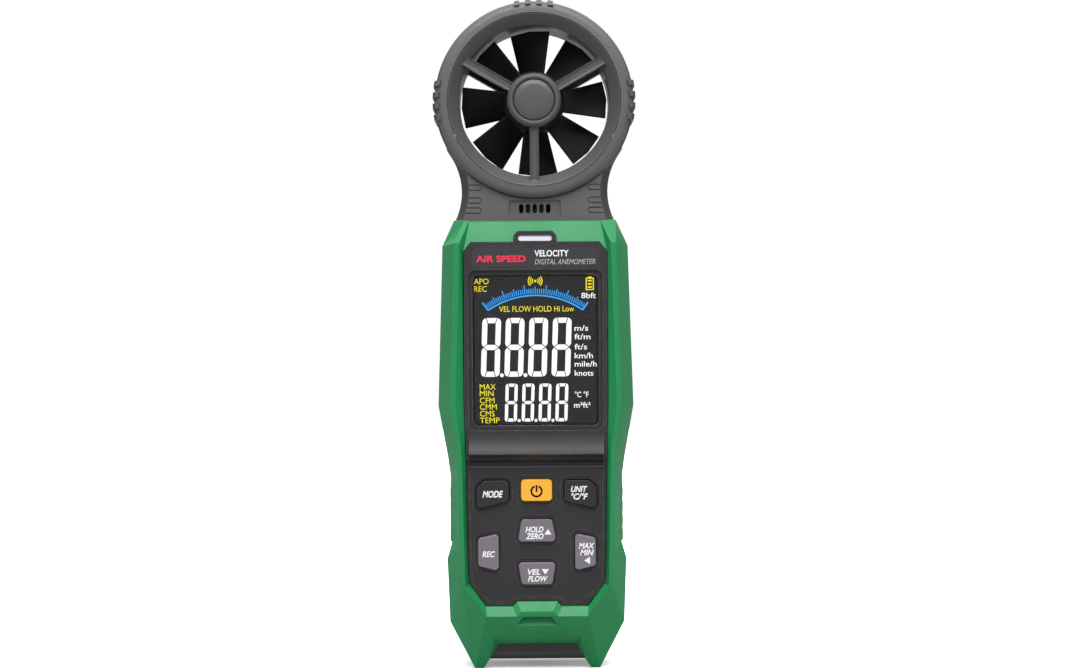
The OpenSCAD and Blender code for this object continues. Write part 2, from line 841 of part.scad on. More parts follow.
strip_h = 1.8;
module lcd_cell() {
    color([0.1, 0.1, 0.12])
    slab(y_lcd, y_backlight) rect(display_w + 0.4, z_window - 0.6, z_window_top + 0.6);
}
module backlight() {
    color([0.9, 0.92, 0.95])
    slab(y_backlight, y_backlight + backlight_t) rect(display_w, z_window + 1.8, z_window_top - 1.8);
}
module contact_strips() {
    color([0.8, 0.3, 0.5])
    for (z = [z_window - 0.4, z_window_top + 0.4 - strip_h])
        slab(y_backlight, y_board) rect(display_w - 4, z, z + strip_h);
}
module lcd_frame() {
    color("white")
    difference() {
        slab(y_lcd - 0.1, y_board) rect(lcd_room_w, z_recess + 0.4, z_recess_top - 0.2);
        slab(y_lcd - cut, y_board + cut) rect(display_w + 0.5, z_window - 0.7, z_window_top + 0.7);
    }
}

// Keys

row_z = z_deck_top - 3.8;
row_low = 6.7;
cross_z = panel_rise + 17.6;
side_x = panel_half - 3.8;
cross_x = panel_half - 4.2;
mode_points = [
    [-side_x, row_z - 9.3], [-side_x, row_z - 2.2], [-side_x + 2.4, row_z],
    [-side_x + side_key_w, row_z], [-side_x + side_key_w, row_z - row_low]
];
power_points = [
    [-power_w / 2, row_z + 0.3 - power_h], [-power_w / 2, row_z + 0.3],
    [power_w / 2, row_z + 0.3], [power_w / 2, row_z + 0.3 - power_h]
];
hold_points = [[-6.2, cross_z + 3.4], [-5, cross_z + 10.6], [5, cross_z + 10.6], [6.2, cross_z + 3.4]];
record_points = [
    [-cross_x, cross_z - 4.5], [-cross_x, cross_z + 4.5],
    [-cross_x + cross_key_w, cross_z + 6], [-cross_x + cross_key_w, cross_z - 6.2]
];
flow_points = [for (p = hold_points) [p[0], 2 * cross_z - p[1]]];
function across(points) = [for (p = points) [-p[0], p[1]]];
key_points = [
    mode_points, power_points, across(mode_points), hold_points, flow_points,
    record_points, across(record_points)
];
key_colors = [black, amber, black, key_grey, key_grey, key_grey, key_grey];

module key_outline(k) {
    rounded(key_corner) polygon(key_points[k]);
}
module key_shape(k, grow) {
    offset(delta = grow) key_outline(k);
}

flange_w = 0.8;
flange_t = 0.9;
stem_r = 2;
stem_end = y_board - 3;
function key_middle(k) = [
    for (i = [0:1])
    let (values = [for (p = key_points[k]) p[i]])
    (min(values) + max(values)) / 2
];
// A key: a cap through the deck, a flange behind it and a stem above its dome
module key(k) {
    mid = key_middle(k);
    color(key_colors[k]) {
        slab(y_deck - key_proud, y_deck_back + seat_gap + 0.2) key_outline(k);
        slab(y_deck_back + seat_gap, y_deck_back + seat_gap + flange_t) key_shape(k, flange_w);
        bar(mid[0], mid[1], stem_r, y_deck_back + seat_gap + 0.4, stem_end);
    }
}

mat_t = 1.1;
dome_r = 3;
dome_h = key_travel + 0.2;
module keypad_mat() {
    color([0.35, 0.35, 0.38])
    difference() {
        union() {
            slab(y_board - mat_t, y_board) rect(2 * panel_half - 6.4, panel_rise + 5.8, z_deck_top - 2);
            for (k = [0:6]) {
                mid = key_middle(k);
                translate([mid[0], y_board - mat_t + 0.1, mid[1]])
                    rotate([90, 0, 0])
                    cylinder(r1 = dome_r, r2 = stem_r + 0.2, h = y_board - mat_t - stem_end - dome_h);
            }
        }
        mirrored() bar(housing_screws_at[1][0], housing_screws_at[1][1], boss_r + 0.4, y_board - body_d, y_board + cut);
    }
}

// Electronics

board_screw_r = 0.9;
board_screw_grip = 2.6;
board_half = panel_half - 1.7;
board_z = panel_rise + 3;
board_z_top = z_bezel_top + 3.6;
module main_board() {
    color(copper_green)
    difference() {
        slab(y_board, y_board_back) rect(2 * board_half, board_z, board_z_top);
        mirrored() {
            for (p = housing_screws_at) bar(p[0], p[1], boss_r + 0.3, y_board - cut, y_board_back + cut);
            for (p = board_screws_at) bar(p[0], p[1], board_screw_r + 0.1, y_board - cut, y_board_back + cut);
        }
    }
}
module board_screws() {
    color(steel)
    mirrored()
        for (p = board_screws_at) {
            bar(p[0], p[1], board_screw_r, y_board - board_screw_grip, y_board_back);
            bar(p[0], p[1], 1.8, y_board_back, y_board_back + 1.2);
        }
}
// Each chip as x, z, width, height and thickness
chips = [
    [0, z_recess + 18, 12, 12, 1.4], [12, z_recess + 38, 8, 6, 1.6],
    [-12, z_recess + 40, 6, 5, 1.6], [14, z_recess + 4, 5, 8, 1.4]
];
module board_chips() {
    color([0.1, 0.1, 0.1])
    for (c = chips)
        translate([c[0] - c[2] / 2, y_board_back, c[1] - c[3] / 2]) cube([c[2], c[4], c[3]]);
}
buzzer_at = [-12, z_recess + 24];
buzzer_r = 4.6;
buzzer_t = 3.2;
module buzzer() {
    color([0.12, 0.12, 0.13])
    difference() {
        bar(buzzer_at[0], buzzer_at[1], buzzer_r, y_board_back, y_board_back + buzzer_t);
        bar(buzzer_at[0], buzzer_at[1], 0.8, y_board_back + buzzer_t - 1, y_board_back + buzzer_t + cut);
    }
}
// A small upright board with the temperature bead, at a fixed distance behind the vent
y_probe = wall + 2.5 - neck_d / 2;
probe_w = 8;
bead_r = 1.1;
module temperature_sensor() {
    color(copper_green) {
        translate([-probe_w / 2, y_probe, board_z_top + 0.3]) cube([probe_w, 1, vent_z + 1 - board_z_top]);
        translate([0, y_probe - 0.8, vent_z - 0.5]) sphere(r = bead_r, $fn = 32);
    }
}

// Screws

module screw(x, z, y_head, y_tip) {
    difference() {
        union() {
            bar(x, z, screw_head_r, y_head, y_head + screw_head_t);
            bar(x, z, screw_r, y_tip, y_head + cut);
        }
        for (a = [0, 90])
            translate([x, y_head + screw_head_t, z]) rotate([0, a, 0]) cube([2.8, 1.6, 0.6], center = true);
    }
}
module housing_screws() {
    color(steel) mirrored() for (p = housing_screws_at) screw(p[0], p[1], screw_head_y, -housing_screw_grip);
}

// Battery compartment

cover_head_y = y_plateau - screw_head_t - 0.05;
module battery_cover() {
    color(black)
    difference() {
        union() {
            slab(y_lid, y_plateau) lid_outline(0);
            // ribs that press the batteries
            for (z = [0.25, 0.75])
                translate([-box_w / 2 + 1, y_lid - 0.2, box_z + z * box_l]) cube([box_w - 2, 0.4, 1.2]);
        }
        bar(0, cover_screw_z, screw_r + 0.02, y_lid - cut, y_back);
        bar(0, cover_screw_z, screw_head_r + 0.3, cover_head_y, y_back);
        // finger grooves
        for (i = [-2:2])
            translate([-7, y_plateau - 0.5, lid_z + 6 + i * 1.8]) cube([14, 1, 0.9]);
    }
}
module cover_screw() {
    color(steel) screw(0, cover_screw_z, cover_head_y, y_battery_floor + 2.5);
}

function battery_x(i) = (i - (battery_count - 1) / 2) * battery_pitch;
nub_r = 1.9;
nub_h = 1;
module batteries() {
    color([0.75, 0.6, 0.25])
    for (i = [0:battery_count - 1])
        translate([battery_x(i), y_battery, box_z + (i % 2 == 0 ? contact_t + spring_l : contact_t + battery_l)])
        rotate([i % 2 == 0 ? 0 : 180, 0, 0]) {
            cylinder(r = battery_r, h = battery_l - nub_h);
            cylinder(r = nub_r, h = battery_l);
        }
}
// Each spring is drawn as a tapering sleeve
module battery_springs() {
    color(steel)
    for (i = [0:battery_count - 1])
        translate([battery_x(i), y_battery, i % 2 == 0 ? box_z + contact_t : box_z + box_l - contact_t])
        rotate([i % 2 == 0 ? 0 : 180, 0, 0])
        rotate_extrude()
        polygon([[3.2, 0], [4, 0], [2.8, spring_l], [2, spring_l]]);
}
module battery_plates() {
    color(steel)
    for (i = [0:battery_count - 1], z = [box_z, box_z + box_l - contact_t])
        translate([battery_x(i) - 4.4, y_battery - 4.4, z]) cube([8.8, 8.8, contact_t]);
}
module tripod_insert() {
    color([0.8, 0.65, 0.3])
    difference() {
        bar(0, tripod_z, tripod_r + tripod_wall, y_plateau - tripod_l, y_plateau - 0.1);
        bar(0, tripod_z, tripod_r, y_plateau - tripod_l - cut, y_plateau);
    }
}

// Head: guards and rotor

spoke_angles = [30, 150, 270];
spoke_d = 2.8;
spoke_chamfer = 0.8;
duct_face = y_rim + funnel_w + 0.3;
y_spoke = y_rim + 2.2;
hub_d = 4.6;
y_hub = y_rim + 0.4;
cap_r = 6.7;
cap_seat = 1.2;
y_bearing = y_hub + hub_d;

// The duct wall with its funnel, three spokes and the hub that holds a bearing
module guard() {
    difference() {
        union() {
            turned([
                [duct_r, 0], [duct_r, duct_face], [duct_r + 0.3, duct_face - 0.3],
                [ridge_r - 0.4, y_rim + 0.15], [ridge_r - 0.05, y_rim + 0.1], [ridge_r - 0.05, y_rim + shell_t + 0.5],
                [duct_r + duct_wall, y_rim + shell_t + 3.6], [duct_r + duct_wall, 0]
            ]);
            translate([0, 0, z_head])
                for (a = spoke_angles)
                    rotate([0, -a, 0])
                    translate([hub_r - 1, 0, 0])
                    rotate([90, 0, 90])
                    linear_extrude(duct_r + duct_wall - 0.2 - hub_r + 1)
                    polygon([
                        [y_spoke, -spoke_w / 2 + spoke_chamfer], [y_spoke + spoke_chamfer, -spoke_w / 2],
                        [y_spoke + spoke_d, -spoke_w / 2], [y_spoke + spoke_d, spoke_w / 2],
                        [y_spoke + spoke_chamfer, spoke_w / 2], [y_spoke, spoke_w / 2 - spoke_chamfer]
                    ]);
            turned([
                [0, y_hub + cap_seat], [cap_r + 0.1, y_hub + cap_seat], [cap_r + 0.1, y_hub + 0.5], [cap_r + 0.5, y_hub],
                [hub_r - 0.9, y_hub], [hub_r, y_hub + 0.9],
                [hub_r, y_hub + hub_d - 0.6], [hub_r - 0.6, y_hub + hub_d], [0, y_hub + hub_d]
            ]);
        }
        bar(0, z_head, bearing_r, y_bearing - bearing_t, y_bearing + cut);
        bar(0, z_head, shaft_r + 0.4, y_hub + cap_seat + 0.3, y_bearing);
    }
}

module front_guard() {
    color(dark_grey) guard();
}
sensor_w = 4;
sensor_d = 1.4;
sensor_x = 5.4;
lead_w = 2;
lead_t = 0.5;
module rear_guard() {
    color(dark_grey)
    rear()
    difference() {
        guard();
        // pocket of the speed sensor, and the channel of its lead down the lower spoke
        translate([-sensor_w / 2, y_bearing - sensor_d - 0.1, z_head - sensor_x - sensor_w / 2])
            cube([sensor_w, sensor_d + 1, sensor_w]);
        translate([-lead_w / 2 - 0.1, y_bearing - sensor_d - 0.1, z_head - ridge_r - 1])
            cube([lead_w + 0.2, 0.8, ridge_r + 1 - sensor_x]);
    }
}
module hub_cap() {
    dome = [for (i = [0:5]) let (a = 15 * i) [(cap_r - 0.9) * cos(a), y_hub - 0.5 * sin(a)]];
    turned(concat(
        [[0, y_hub + cap_seat - 0.02], [cap_r, y_hub + cap_seat - 0.02], [cap_r, y_hub + 0.5], [cap_r - 0.4, y_hub + 0.1]],
        dome, [[0, y_hub - 0.5]]
    ));
}
module front_hub_cap() {
    color(dark_grey) hub_cap();
}
module rear_hub_cap() {
    color(dark_grey) rear() hub_cap();
}

module bearing() {
    difference() {
        bar(0, z_head, bearing_r, y_bearing - bearing_t, y_bearing);
        bar(0, z_head, shaft_r + shaft_clearance, y_bearing - bearing_t - cut, y_bearing + cut);
    }
}
module front_bearing() {
    color(steel) bearing();
}
module rear_bearing() {
    color(steel) rear() bearing();
}
module rotor_shaft() {
    y_end = y_bearing - bearing_t - 0.2;
    color(steel) bar(0, z_head, shaft_r, y_end, -y_end);
}

rotor_gap = 0.5;
y_rotor = y_bearing + rotor_gap;
magnet_r = 5.6;
magnet_t = 3;
// A blade: its chord turns from the pitch at the hub to the pitch at the tip
tip_r = duct_r - tip_gap;
root_r = rotor_hub_r - 0.6;
root_chord = [7.2, 9.6];
tip_chord = [12.9, 6.4];
blade_first = 3;
blade_rings = 6;
function blade_point(r, t, side) =
    let (
        f = (r - root_r) / (tip_r - root_r),
        chord = root_chord + f * (tip_chord - root_chord),
        along = t * chord,
        normal = [chord[1], -chord[0]] / norm(chord) * blade_t / 2 * side,
        u = along[0] + normal[0],
        w = along[1] + normal[1]
    )
    [sqrt(r * r - u * u), w, u];
blade_edge = concat([for (t = [-0.5, 0, 0.5]) [t, -1]], [for (t = [0.5, 0, -0.5]) [t, 1]]);
module blade() {
    rings = [for (i = [0:blade_rings]) let (r = root_r + i * (tip_r - root_r) / blade_rings)
        [for (e = blade_edge) blade_point(r, e[0], e[1])]];
    loft(rings);
}
module impeller() {
    color([0.06, 0.06, 0.06])
    difference() {
        union() {
            turned([
                [0, y_rotor], [rotor_hub_r - 0.8, y_rotor], [rotor_hub_r, y_rotor + 0.8],
                [rotor_hub_r, -y_rotor - 0.8], [rotor_hub_r - 0.8, -y_rotor], [0, -y_rotor]
            ]);
            translate([0, 0, z_head])
                for (i = [0:blades - 1]) rotate([0, -blade_first - i * 360 / blades, 0]) blade();
        }
        bar(0, z_head, shaft_r, y_rotor - cut, -y_rotor + cut);
        // room for the magnet, open to the rear
        bar(0, z_head, magnet_r, -y_rotor - magnet_t, -y_rotor + cut);
    }
}
module rotor_magnet() {
    color([0.2, 0.2, 0.22])
    difference() {
        bar(0, z_head, magnet_r, -y_rotor - magnet_t, -y_rotor - 0.2);
        bar(0, z_head, shaft_r + 0.05, -y_rotor - magnet_t - cut, -y_rotor + cut);
    }
}
module speed_sensor() {
    color([0.1, 0.1, 0.12])
    rear()
    translate([-sensor_w / 2 + 0.1, y_bearing - sensor_d, z_head - sensor_x - sensor_w / 2 + 0.1])
        cube([sensor_w - 0.2, sensor_d, sensor_w - 0.2]);
}
// A flat lead: down the spoke, across the channel of the head and down to the board
lead_r = duct_r + duct_wall + 1.6;
module sensor_lead() {
    y_spoke_lead = sensor_d - y_bearing - lead_t;
    y_down = 0.8;
    z_channel = z_head - lead_r;
    z_end = board_z_top - 2;
    color([0.8, 0.5, 0.2]) {
        translate([-lead_w / 2, y_spoke_lead, z_channel])
            cube([lead_w, lead_t, lead_r - sensor_x - sensor_w / 2]);
        translate([-lead_w / 2, y_down, z_channel]) cube([lead_w, y_spoke_lead - y_down + lead_t, lead_t]);
        translate([-lead_w / 2, y_down, z_end]) cube([lead_w, lead_t, z_channel - z_end + lead_t]);
        translate([-lead_w / 2, y_board_back, z_end]) cube([lead_w, y_down - y_board_back + lead_t, lead_t]);
    }
}

front_housing();
rear_housing();
front_cover();
rear_cover();
front_panel();
display_window();
title_plate();
indicator_lens();
indicator_led();
lcd_cell();
lcd_frame();
backlight();
contact_strips();
keypad_mat();
key(0);  // key_mode
key(1);  // key_power
key(2);  // key_unit
key(3);  // key_hold
key(4);  // key_flow
key(5);  // key_record
key(6);  // key_limits
main_board();
board_chips();
buzzer();
board_screws();
housing_screws();
battery_cover();
cover_screw();
batteries();
battery_springs();
battery_plates();
tripod_insert();
front_guard();
rear_guard();
front_hub_cap();
rear_hub_cap();
impeller();
rotor_shaft();
front_bearing();
rear_bearing();
rotor_magnet();
speed_sensor();
sensor_lead();
temperature_sensor();
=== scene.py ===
import math
import bpy
import bmesh
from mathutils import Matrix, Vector


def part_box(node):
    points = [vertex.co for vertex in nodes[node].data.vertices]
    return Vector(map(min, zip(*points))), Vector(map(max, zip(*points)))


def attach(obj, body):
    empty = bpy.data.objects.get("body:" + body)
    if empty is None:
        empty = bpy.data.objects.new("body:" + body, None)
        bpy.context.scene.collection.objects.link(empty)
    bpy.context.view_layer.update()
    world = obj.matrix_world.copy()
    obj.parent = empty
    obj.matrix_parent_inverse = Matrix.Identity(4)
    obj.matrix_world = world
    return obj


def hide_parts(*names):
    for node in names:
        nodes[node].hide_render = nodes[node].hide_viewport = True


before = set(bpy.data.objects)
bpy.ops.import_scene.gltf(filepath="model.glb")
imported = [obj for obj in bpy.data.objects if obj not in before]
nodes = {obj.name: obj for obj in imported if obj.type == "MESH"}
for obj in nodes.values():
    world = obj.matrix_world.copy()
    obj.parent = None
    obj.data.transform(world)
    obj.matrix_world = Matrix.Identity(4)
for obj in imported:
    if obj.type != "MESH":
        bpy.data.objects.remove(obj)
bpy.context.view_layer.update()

mm = 0.001


def boxOf(name):
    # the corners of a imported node, in millimetres
    low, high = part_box(name)
    return low / mm, high / mm


def centreOf(name):
    low, high = boxOf(name)
    return (low + high) / 2


# shader node groups shared by the finishes


def startGroup(name, inputs, outputs):
    tree = bpy.data.node_groups.new(name, "ShaderNodeTree")
    for label, value in inputs.items():
        socket = tree.interface.new_socket(label, in_out="INPUT", socket_type="NodeSocketFloat")
        socket.default_value = value
    for label in outputs:
        tree.interface.new_socket(label, in_out="OUTPUT", socket_type="NodeSocketFloat")
    return tree, tree.nodes.new("NodeGroupInput"), tree.nodes.new("NodeGroupOutput")


def addMath(tree, operation, first, second):
    node = tree.nodes.new("ShaderNodeMath")
    node.operation = operation
    for socket, value in zip(node.inputs, (first, second)):
        if isinstance(value, (int, float)):
            socket.default_value = value
        else:
            tree.links.new(value, socket)
    return node.outputs[0]


def addRange(tree, value, fromLow, fromHigh, toLow=0, toHigh=1):
    node = tree.nodes.new("ShaderNodeMapRange")
    limits = {"From Min": fromLow, "From Max": fromHigh, "To Min": toLow, "To Max": toHigh}
    for label, number in limits.items():
        node.inputs[label].default_value = number
    tree.links.new(value, node.inputs["Value"])
    return node.outputs[0]


def addMix(tree, share, first, second):
    # sockets 0, 6 and 7 are the factor and the two colours
    node = tree.nodes.new("ShaderNodeMix")
    node.data_type = "RGBA"
    for index, value in ((0, share), (6, first), (7, second)):
        if isinstance(value, tuple):
            node.inputs[index].default_value = (*value, 1)
        else:
            tree.links.new(value, node.inputs[index])
    return node.outputs[2]


def addPlace(tree, millimetres, stretch=(1, 1, 1)):
    # object coordinates counted in steps of the given size
    place = tree.nodes.new("ShaderNodeTexCoord").outputs["Object"]
    scale = tree.nodes.new("ShaderNodeVectorMath")
    scale.operation = "SCALE"
    tree.links.new(place, scale.inputs[0])
    tree.links.new(addMath(tree, "DIVIDE", 1 / mm, millimetres), scale.inputs["Scale"])
    shape = tree.nodes.new("ShaderNodeVectorMath")
    shape.operation = "MULTIPLY"
    shape.inputs[1].default_value = stretch
    tree.links.new(scale.outputs[0], shape.inputs[0])
    return shape.outputs[0]


def addNoise(tree, place, detail):
    node = tree.nodes.new("ShaderNodeTexNoise")
    node.inputs["Scale"].default_value = 1
    node.inputs["Detail"].default_value = detail
    tree.links.new(place, node.inputs["Vector"])
    return node.outputs["Fac"]


def addPatches(tree, millimetres, detail):
    return addNoise(tree, addPlace(tree, millimetres), detail)


grainShape = {"detail": 2, "cellScale": 0.8, "cellDepth": 0.5, "patchDetail": 3}


def makeGrainGroup():
    # the fine eroded texture of a moulded part, and its slow drift in tone
    tree, source, result = startGroup(
        "mouldedGrain", {"Grain Size": 0.25, "Patch Size": 14.0}, ["Height", "Tone"])
    finePlace = addPlace(tree, source.outputs["Grain Size"])
    noise = addNoise(tree, finePlace, grainShape["detail"])
    cells = tree.nodes.new("ShaderNodeTexVoronoi")
    cells.inputs["Scale"].default_value = grainShape["cellScale"]
    tree.links.new(finePlace, cells.inputs["Vector"])
    pits = addMath(tree, "MULTIPLY", cells.outputs["Distance"], grainShape["cellDepth"])
    tree.links.new(addMath(tree, "ADD", noise, pits), result.inputs["Height"])
    patches = addPatches(tree, source.outputs["Patch Size"], grainShape["patchDetail"])
    tree.links.new(patches, result.inputs["Tone"])
    return tree


wearShape = {"samples": 4, "straight": 0.995, "bent": 0.85, "patch": 3.0, "detail": 4,
             "patchRange": (0.35, 0.7), "least": 0.25}


def makeWearGroup():
    # where a rounded edge has been rubbed lighter
    tree, source, result = startGroup("edgeWear", {"Reach": 0.4, "Amount": 0.5}, ["Mask"])
    bevel = tree.nodes.new("ShaderNodeBevel")
    bevel.samples = wearShape["samples"]
    tree.links.new(addMath(tree, "MULTIPLY", source.outputs["Reach"], mm), bevel.inputs["Radius"])
    flat = tree.nodes.new("ShaderNodeNewGeometry").outputs["True Normal"]
    dot = tree.nodes.new("ShaderNodeVectorMath")
    dot.operation = "DOT_PRODUCT"
    tree.links.new(bevel.outputs[0], dot.inputs[0])
    tree.links.new(flat, dot.inputs[1])
    bend = addRange(tree, dot.outputs["Value"], wearShape["straight"], wearShape["bent"])
    patches = addPatches(tree, wearShape["patch"], wearShape["detail"])
    rubbed = addRange(tree, patches, *wearShape["patchRange"], wearShape["least"], 1)
    mask = addMath(tree, "MULTIPLY", bend, rubbed)
    amount = addMath(tree, "MULTIPLY", mask, source.outputs["Amount"])
    tree.links.new(amount, result.inputs["Mask"])
    return tree


dustLook = {"colour": (0.55, 0.53, 0.52), "upward": 0.3, "patch": 6.0, "detail": 5,
            "patchRange": (0.4, 0.75), "least": 0.2}


def makeDustGroup():
    # a thin film of dust on what faces up
    tree, source, result = startGroup("settledDust", {"Amount": 0.1}, ["Mask"])
    split = tree.nodes.new("ShaderNodeSeparateXYZ")
    tree.links.new(tree.nodes.new("ShaderNodeNewGeometry").outputs["Normal"], split.inputs[0])
    upward = addRange(tree, split.outputs["Z"], dustLook["upward"], 1)
    patches = addPatches(tree, dustLook["patch"], dustLook["detail"])
    cloud = addRange(tree, patches, *dustLook["patchRange"], dustLook["least"], 1)
    mask = addMath(tree, "MULTIPLY", upward, cloud)
    amount = addMath(tree, "MULTIPLY", mask, source.outputs["Amount"])
    tree.links.new(amount, result.inputs["Mask"])
    return tree


# how softly the painted shade on sideways faces blends in
paintedShadeBlend = 0.06


def makePaintedShadeGroup():
    # painted shade on the housing: a darker colour on what faces sideways, and a painted shadow
    # on what lies low between the feet
    tree, source, result = startGroup("paintedSideAndLowShade", {"Facing": 0.52, "Low": 30.0}, ["Mask"])
    geometry = tree.nodes.new("ShaderNodeNewGeometry")
    normal = tree.nodes.new("ShaderNodeSeparateXYZ")
    tree.links.new(geometry.outputs["Normal"], normal.inputs[0])
    facing = addMath(tree, "ABSOLUTE", normal.outputs["Y"], 0)
    aside = addMath(tree, "SUBTRACT", source.outputs["Facing"], facing)
    place = tree.nodes.new("ShaderNodeSeparateXYZ")
    tree.links.new(geometry.outputs["Position"], place.inputs[0])
    height = addMath(tree, "MULTIPLY", source.outputs["Low"], mm)
    low = addMath(tree, "LESS_THAN", place.outputs["Z"], height)
    paintedShadeMask = addMath(tree, "MAXIMUM", addRange(tree, aside, -paintedShadeBlend, paintedShadeBlend), low)
    tree.links.new(paintedShadeMask, result.inputs["Mask"])
    return tree


streakShape = {"stretch": (1, 1, 0.04), "detail": 3, "patch": 2.5}


def makeStreakGroup():
    # fine parallel marks left by rolling or turning
    tree, source, result = startGroup("drawnStreaks", {"Width": 0.08}, ["Height", "Tone"])
    place = addPlace(tree, source.outputs["Width"], streakShape["stretch"])
    tree.links.new(addNoise(tree, place, streakShape["detail"]), result.inputs["Height"])
    patches = addPatches(tree, streakShape["patch"], streakShape["detail"])
    tree.links.new(patches, result.inputs["Tone"])
    return tree


bandShape = {"scale": 0.5, "edge": (0.35, 0.65)}


def makeBandGroup():
    # even bands along one direction, for layered rubber and flat leads
    tree, source, result = startGroup("evenBands", {"Pitch": 0.5}, ["Mask"])
    wave = tree.nodes.new("ShaderNodeTexWave")
    wave.bands_direction = "X"
    wave.inputs["Scale"].default_value = bandShape["scale"]
    tree.links.new(addPlace(tree, source.outputs["Pitch"]), wave.inputs["Vector"])
    tree.links.new(addRange(tree, wave.outputs["Fac"], *bandShape["edge"]), result.inputs["Mask"])
    return tree


groups = {
    "grain": makeGrainGroup(),
    "wear": makeWearGroup(),
    "dust": makeDustGroup(),
    "aside": makePaintedShadeGroup(),
    "streaks": makeStreakGroup(),
    "bands": makeBandGroup(),
}
print("shader groups made")


# finishes


def placeGroup(tree, key, **values):
    node = tree.nodes.new("ShaderNodeGroup")
    node.node_tree = groups[key]
    for label, value in values.items():
        node.inputs[label.replace("_", " ")].default_value = value
    return node


def startFinish(name, **constants):
    material = bpy.data.materials.new(name)
    material.use_nodes = True
    tree = material.node_tree
    shader = tree.nodes["Principled BSDF"]
    for label, value in constants.items():
        shader.inputs[label.replace("_", " ")].default_value = value
    return material, tree, shader


def addGloss(tree, shader, tone, gloss, spread=(0.3, 0.7)):
    # the roughness drifts between two values with the tone of the surface
    tree.links.new(addRange(tree, tone, *spread, *gloss), shader.inputs["Roughness"])


def addBump(tree, shader, height, depth):
    bump = tree.nodes.new("ShaderNodeBump")
    bump.inputs["Strength"].default_value = 1
    bump.inputs["Distance"].default_value = depth * mm
    tree.links.new(height, bump.inputs["Height"])
    tree.links.new(bump.outputs[0], shader.inputs["Normal"])


def makePlastic(name, own):
    look = {**plasticCommon, **own}
    material, tree, shader = startFinish(name, IOR=look["ior"])
    grain = placeGroup(tree, "grain", Grain_Size=look["grain"], Patch_Size=look["patch"])
    colour = addMix(tree, grain.outputs["Tone"], look["colour"], look["shade"])
    # painted shade: the aside colour darkens what faces sideways, and paints a shadow on what
    # lies low between the feet
    if "aside" in look:
        colour = addMix(tree, placeGroup(tree, "aside").outputs["Mask"], colour, look["aside"])
    if "wear" in look:
        wear = placeGroup(tree, "wear", Reach=look["reach"], Amount=look["wear"])
        colour = addMix(tree, wear.outputs["Mask"], colour, look["rubbed"])
    if "dust" in look:
        dust = placeGroup(tree, "dust", Amount=look["dust"])
        colour = addMix(tree, dust.outputs["Mask"], colour, dustLook["colour"])
    tree.links.new(colour, shader.inputs["Base Color"])
    addGloss(tree, shader, grain.outputs["Tone"], look["gloss"])
    addBump(tree, shader, grain.outputs["Height"], look["depth"])
    return material


def makeMetal(name, look):
    material, tree, shader = startFinish(name, Metallic=1.0)
    streaks = placeGroup(tree, "streaks", Width=look["width"])
    colour = addMix(tree, streaks.outputs["Tone"], look["colour"], look["shade"])
    tree.links.new(colour, shader.inputs["Base Color"])
    addGloss(tree, shader, streaks.outputs["Height"], look["gloss"])
    addBump(tree, shader, streaks.outputs["Height"], look["depth"])
    return material


def makeBanded(name, look):
    material, tree, shader = startFinish(name)
    bands = placeGroup(tree, "bands", Pitch=look["pitch"])
    grain = placeGroup(tree, "grain", Grain_Size=look["grain"])
    colour = addMix(tree, bands.outputs["Mask"], look["colour"], look["shade"])
    tree.links.new(colour, shader.inputs["Base Color"])
    addGloss(tree, shader, grain.outputs["Tone"], look["gloss"])
    addBump(tree, shader, bands.outputs["Mask"], look["depth"])
    return material


def makeLit(name, own):
    look = {**litCommon, **own}
    material, tree, shader = startFinish(
        name, Emission_Strength=look["strength"], Base_Color=(*look["body"], 1))
    grain = placeGroup(tree, "grain", Grain_Size=look["grain"], Patch_Size=look["patch"])
    colour = addMix(tree, grain.outputs["Tone"], look["colour"], look["shade"])
    tree.links.new(colour, shader.inputs["Emission Color"])
    addGloss(tree, shader, grain.outputs["Tone"], look["gloss"])
    return material


def makeGlass(name, look):
    material, tree, shader = startFinish(
        name, Transmission_Weight=1.0, IOR=look["ior"], Base_Color=(*look["colour"], 1))
    grain = placeGroup(tree, "grain", Grain_Size=look["grain"], Patch_Size=look["patch"])
    addGloss(tree, shader, grain.outputs["Tone"], look["gloss"], look["spread"])
    return material


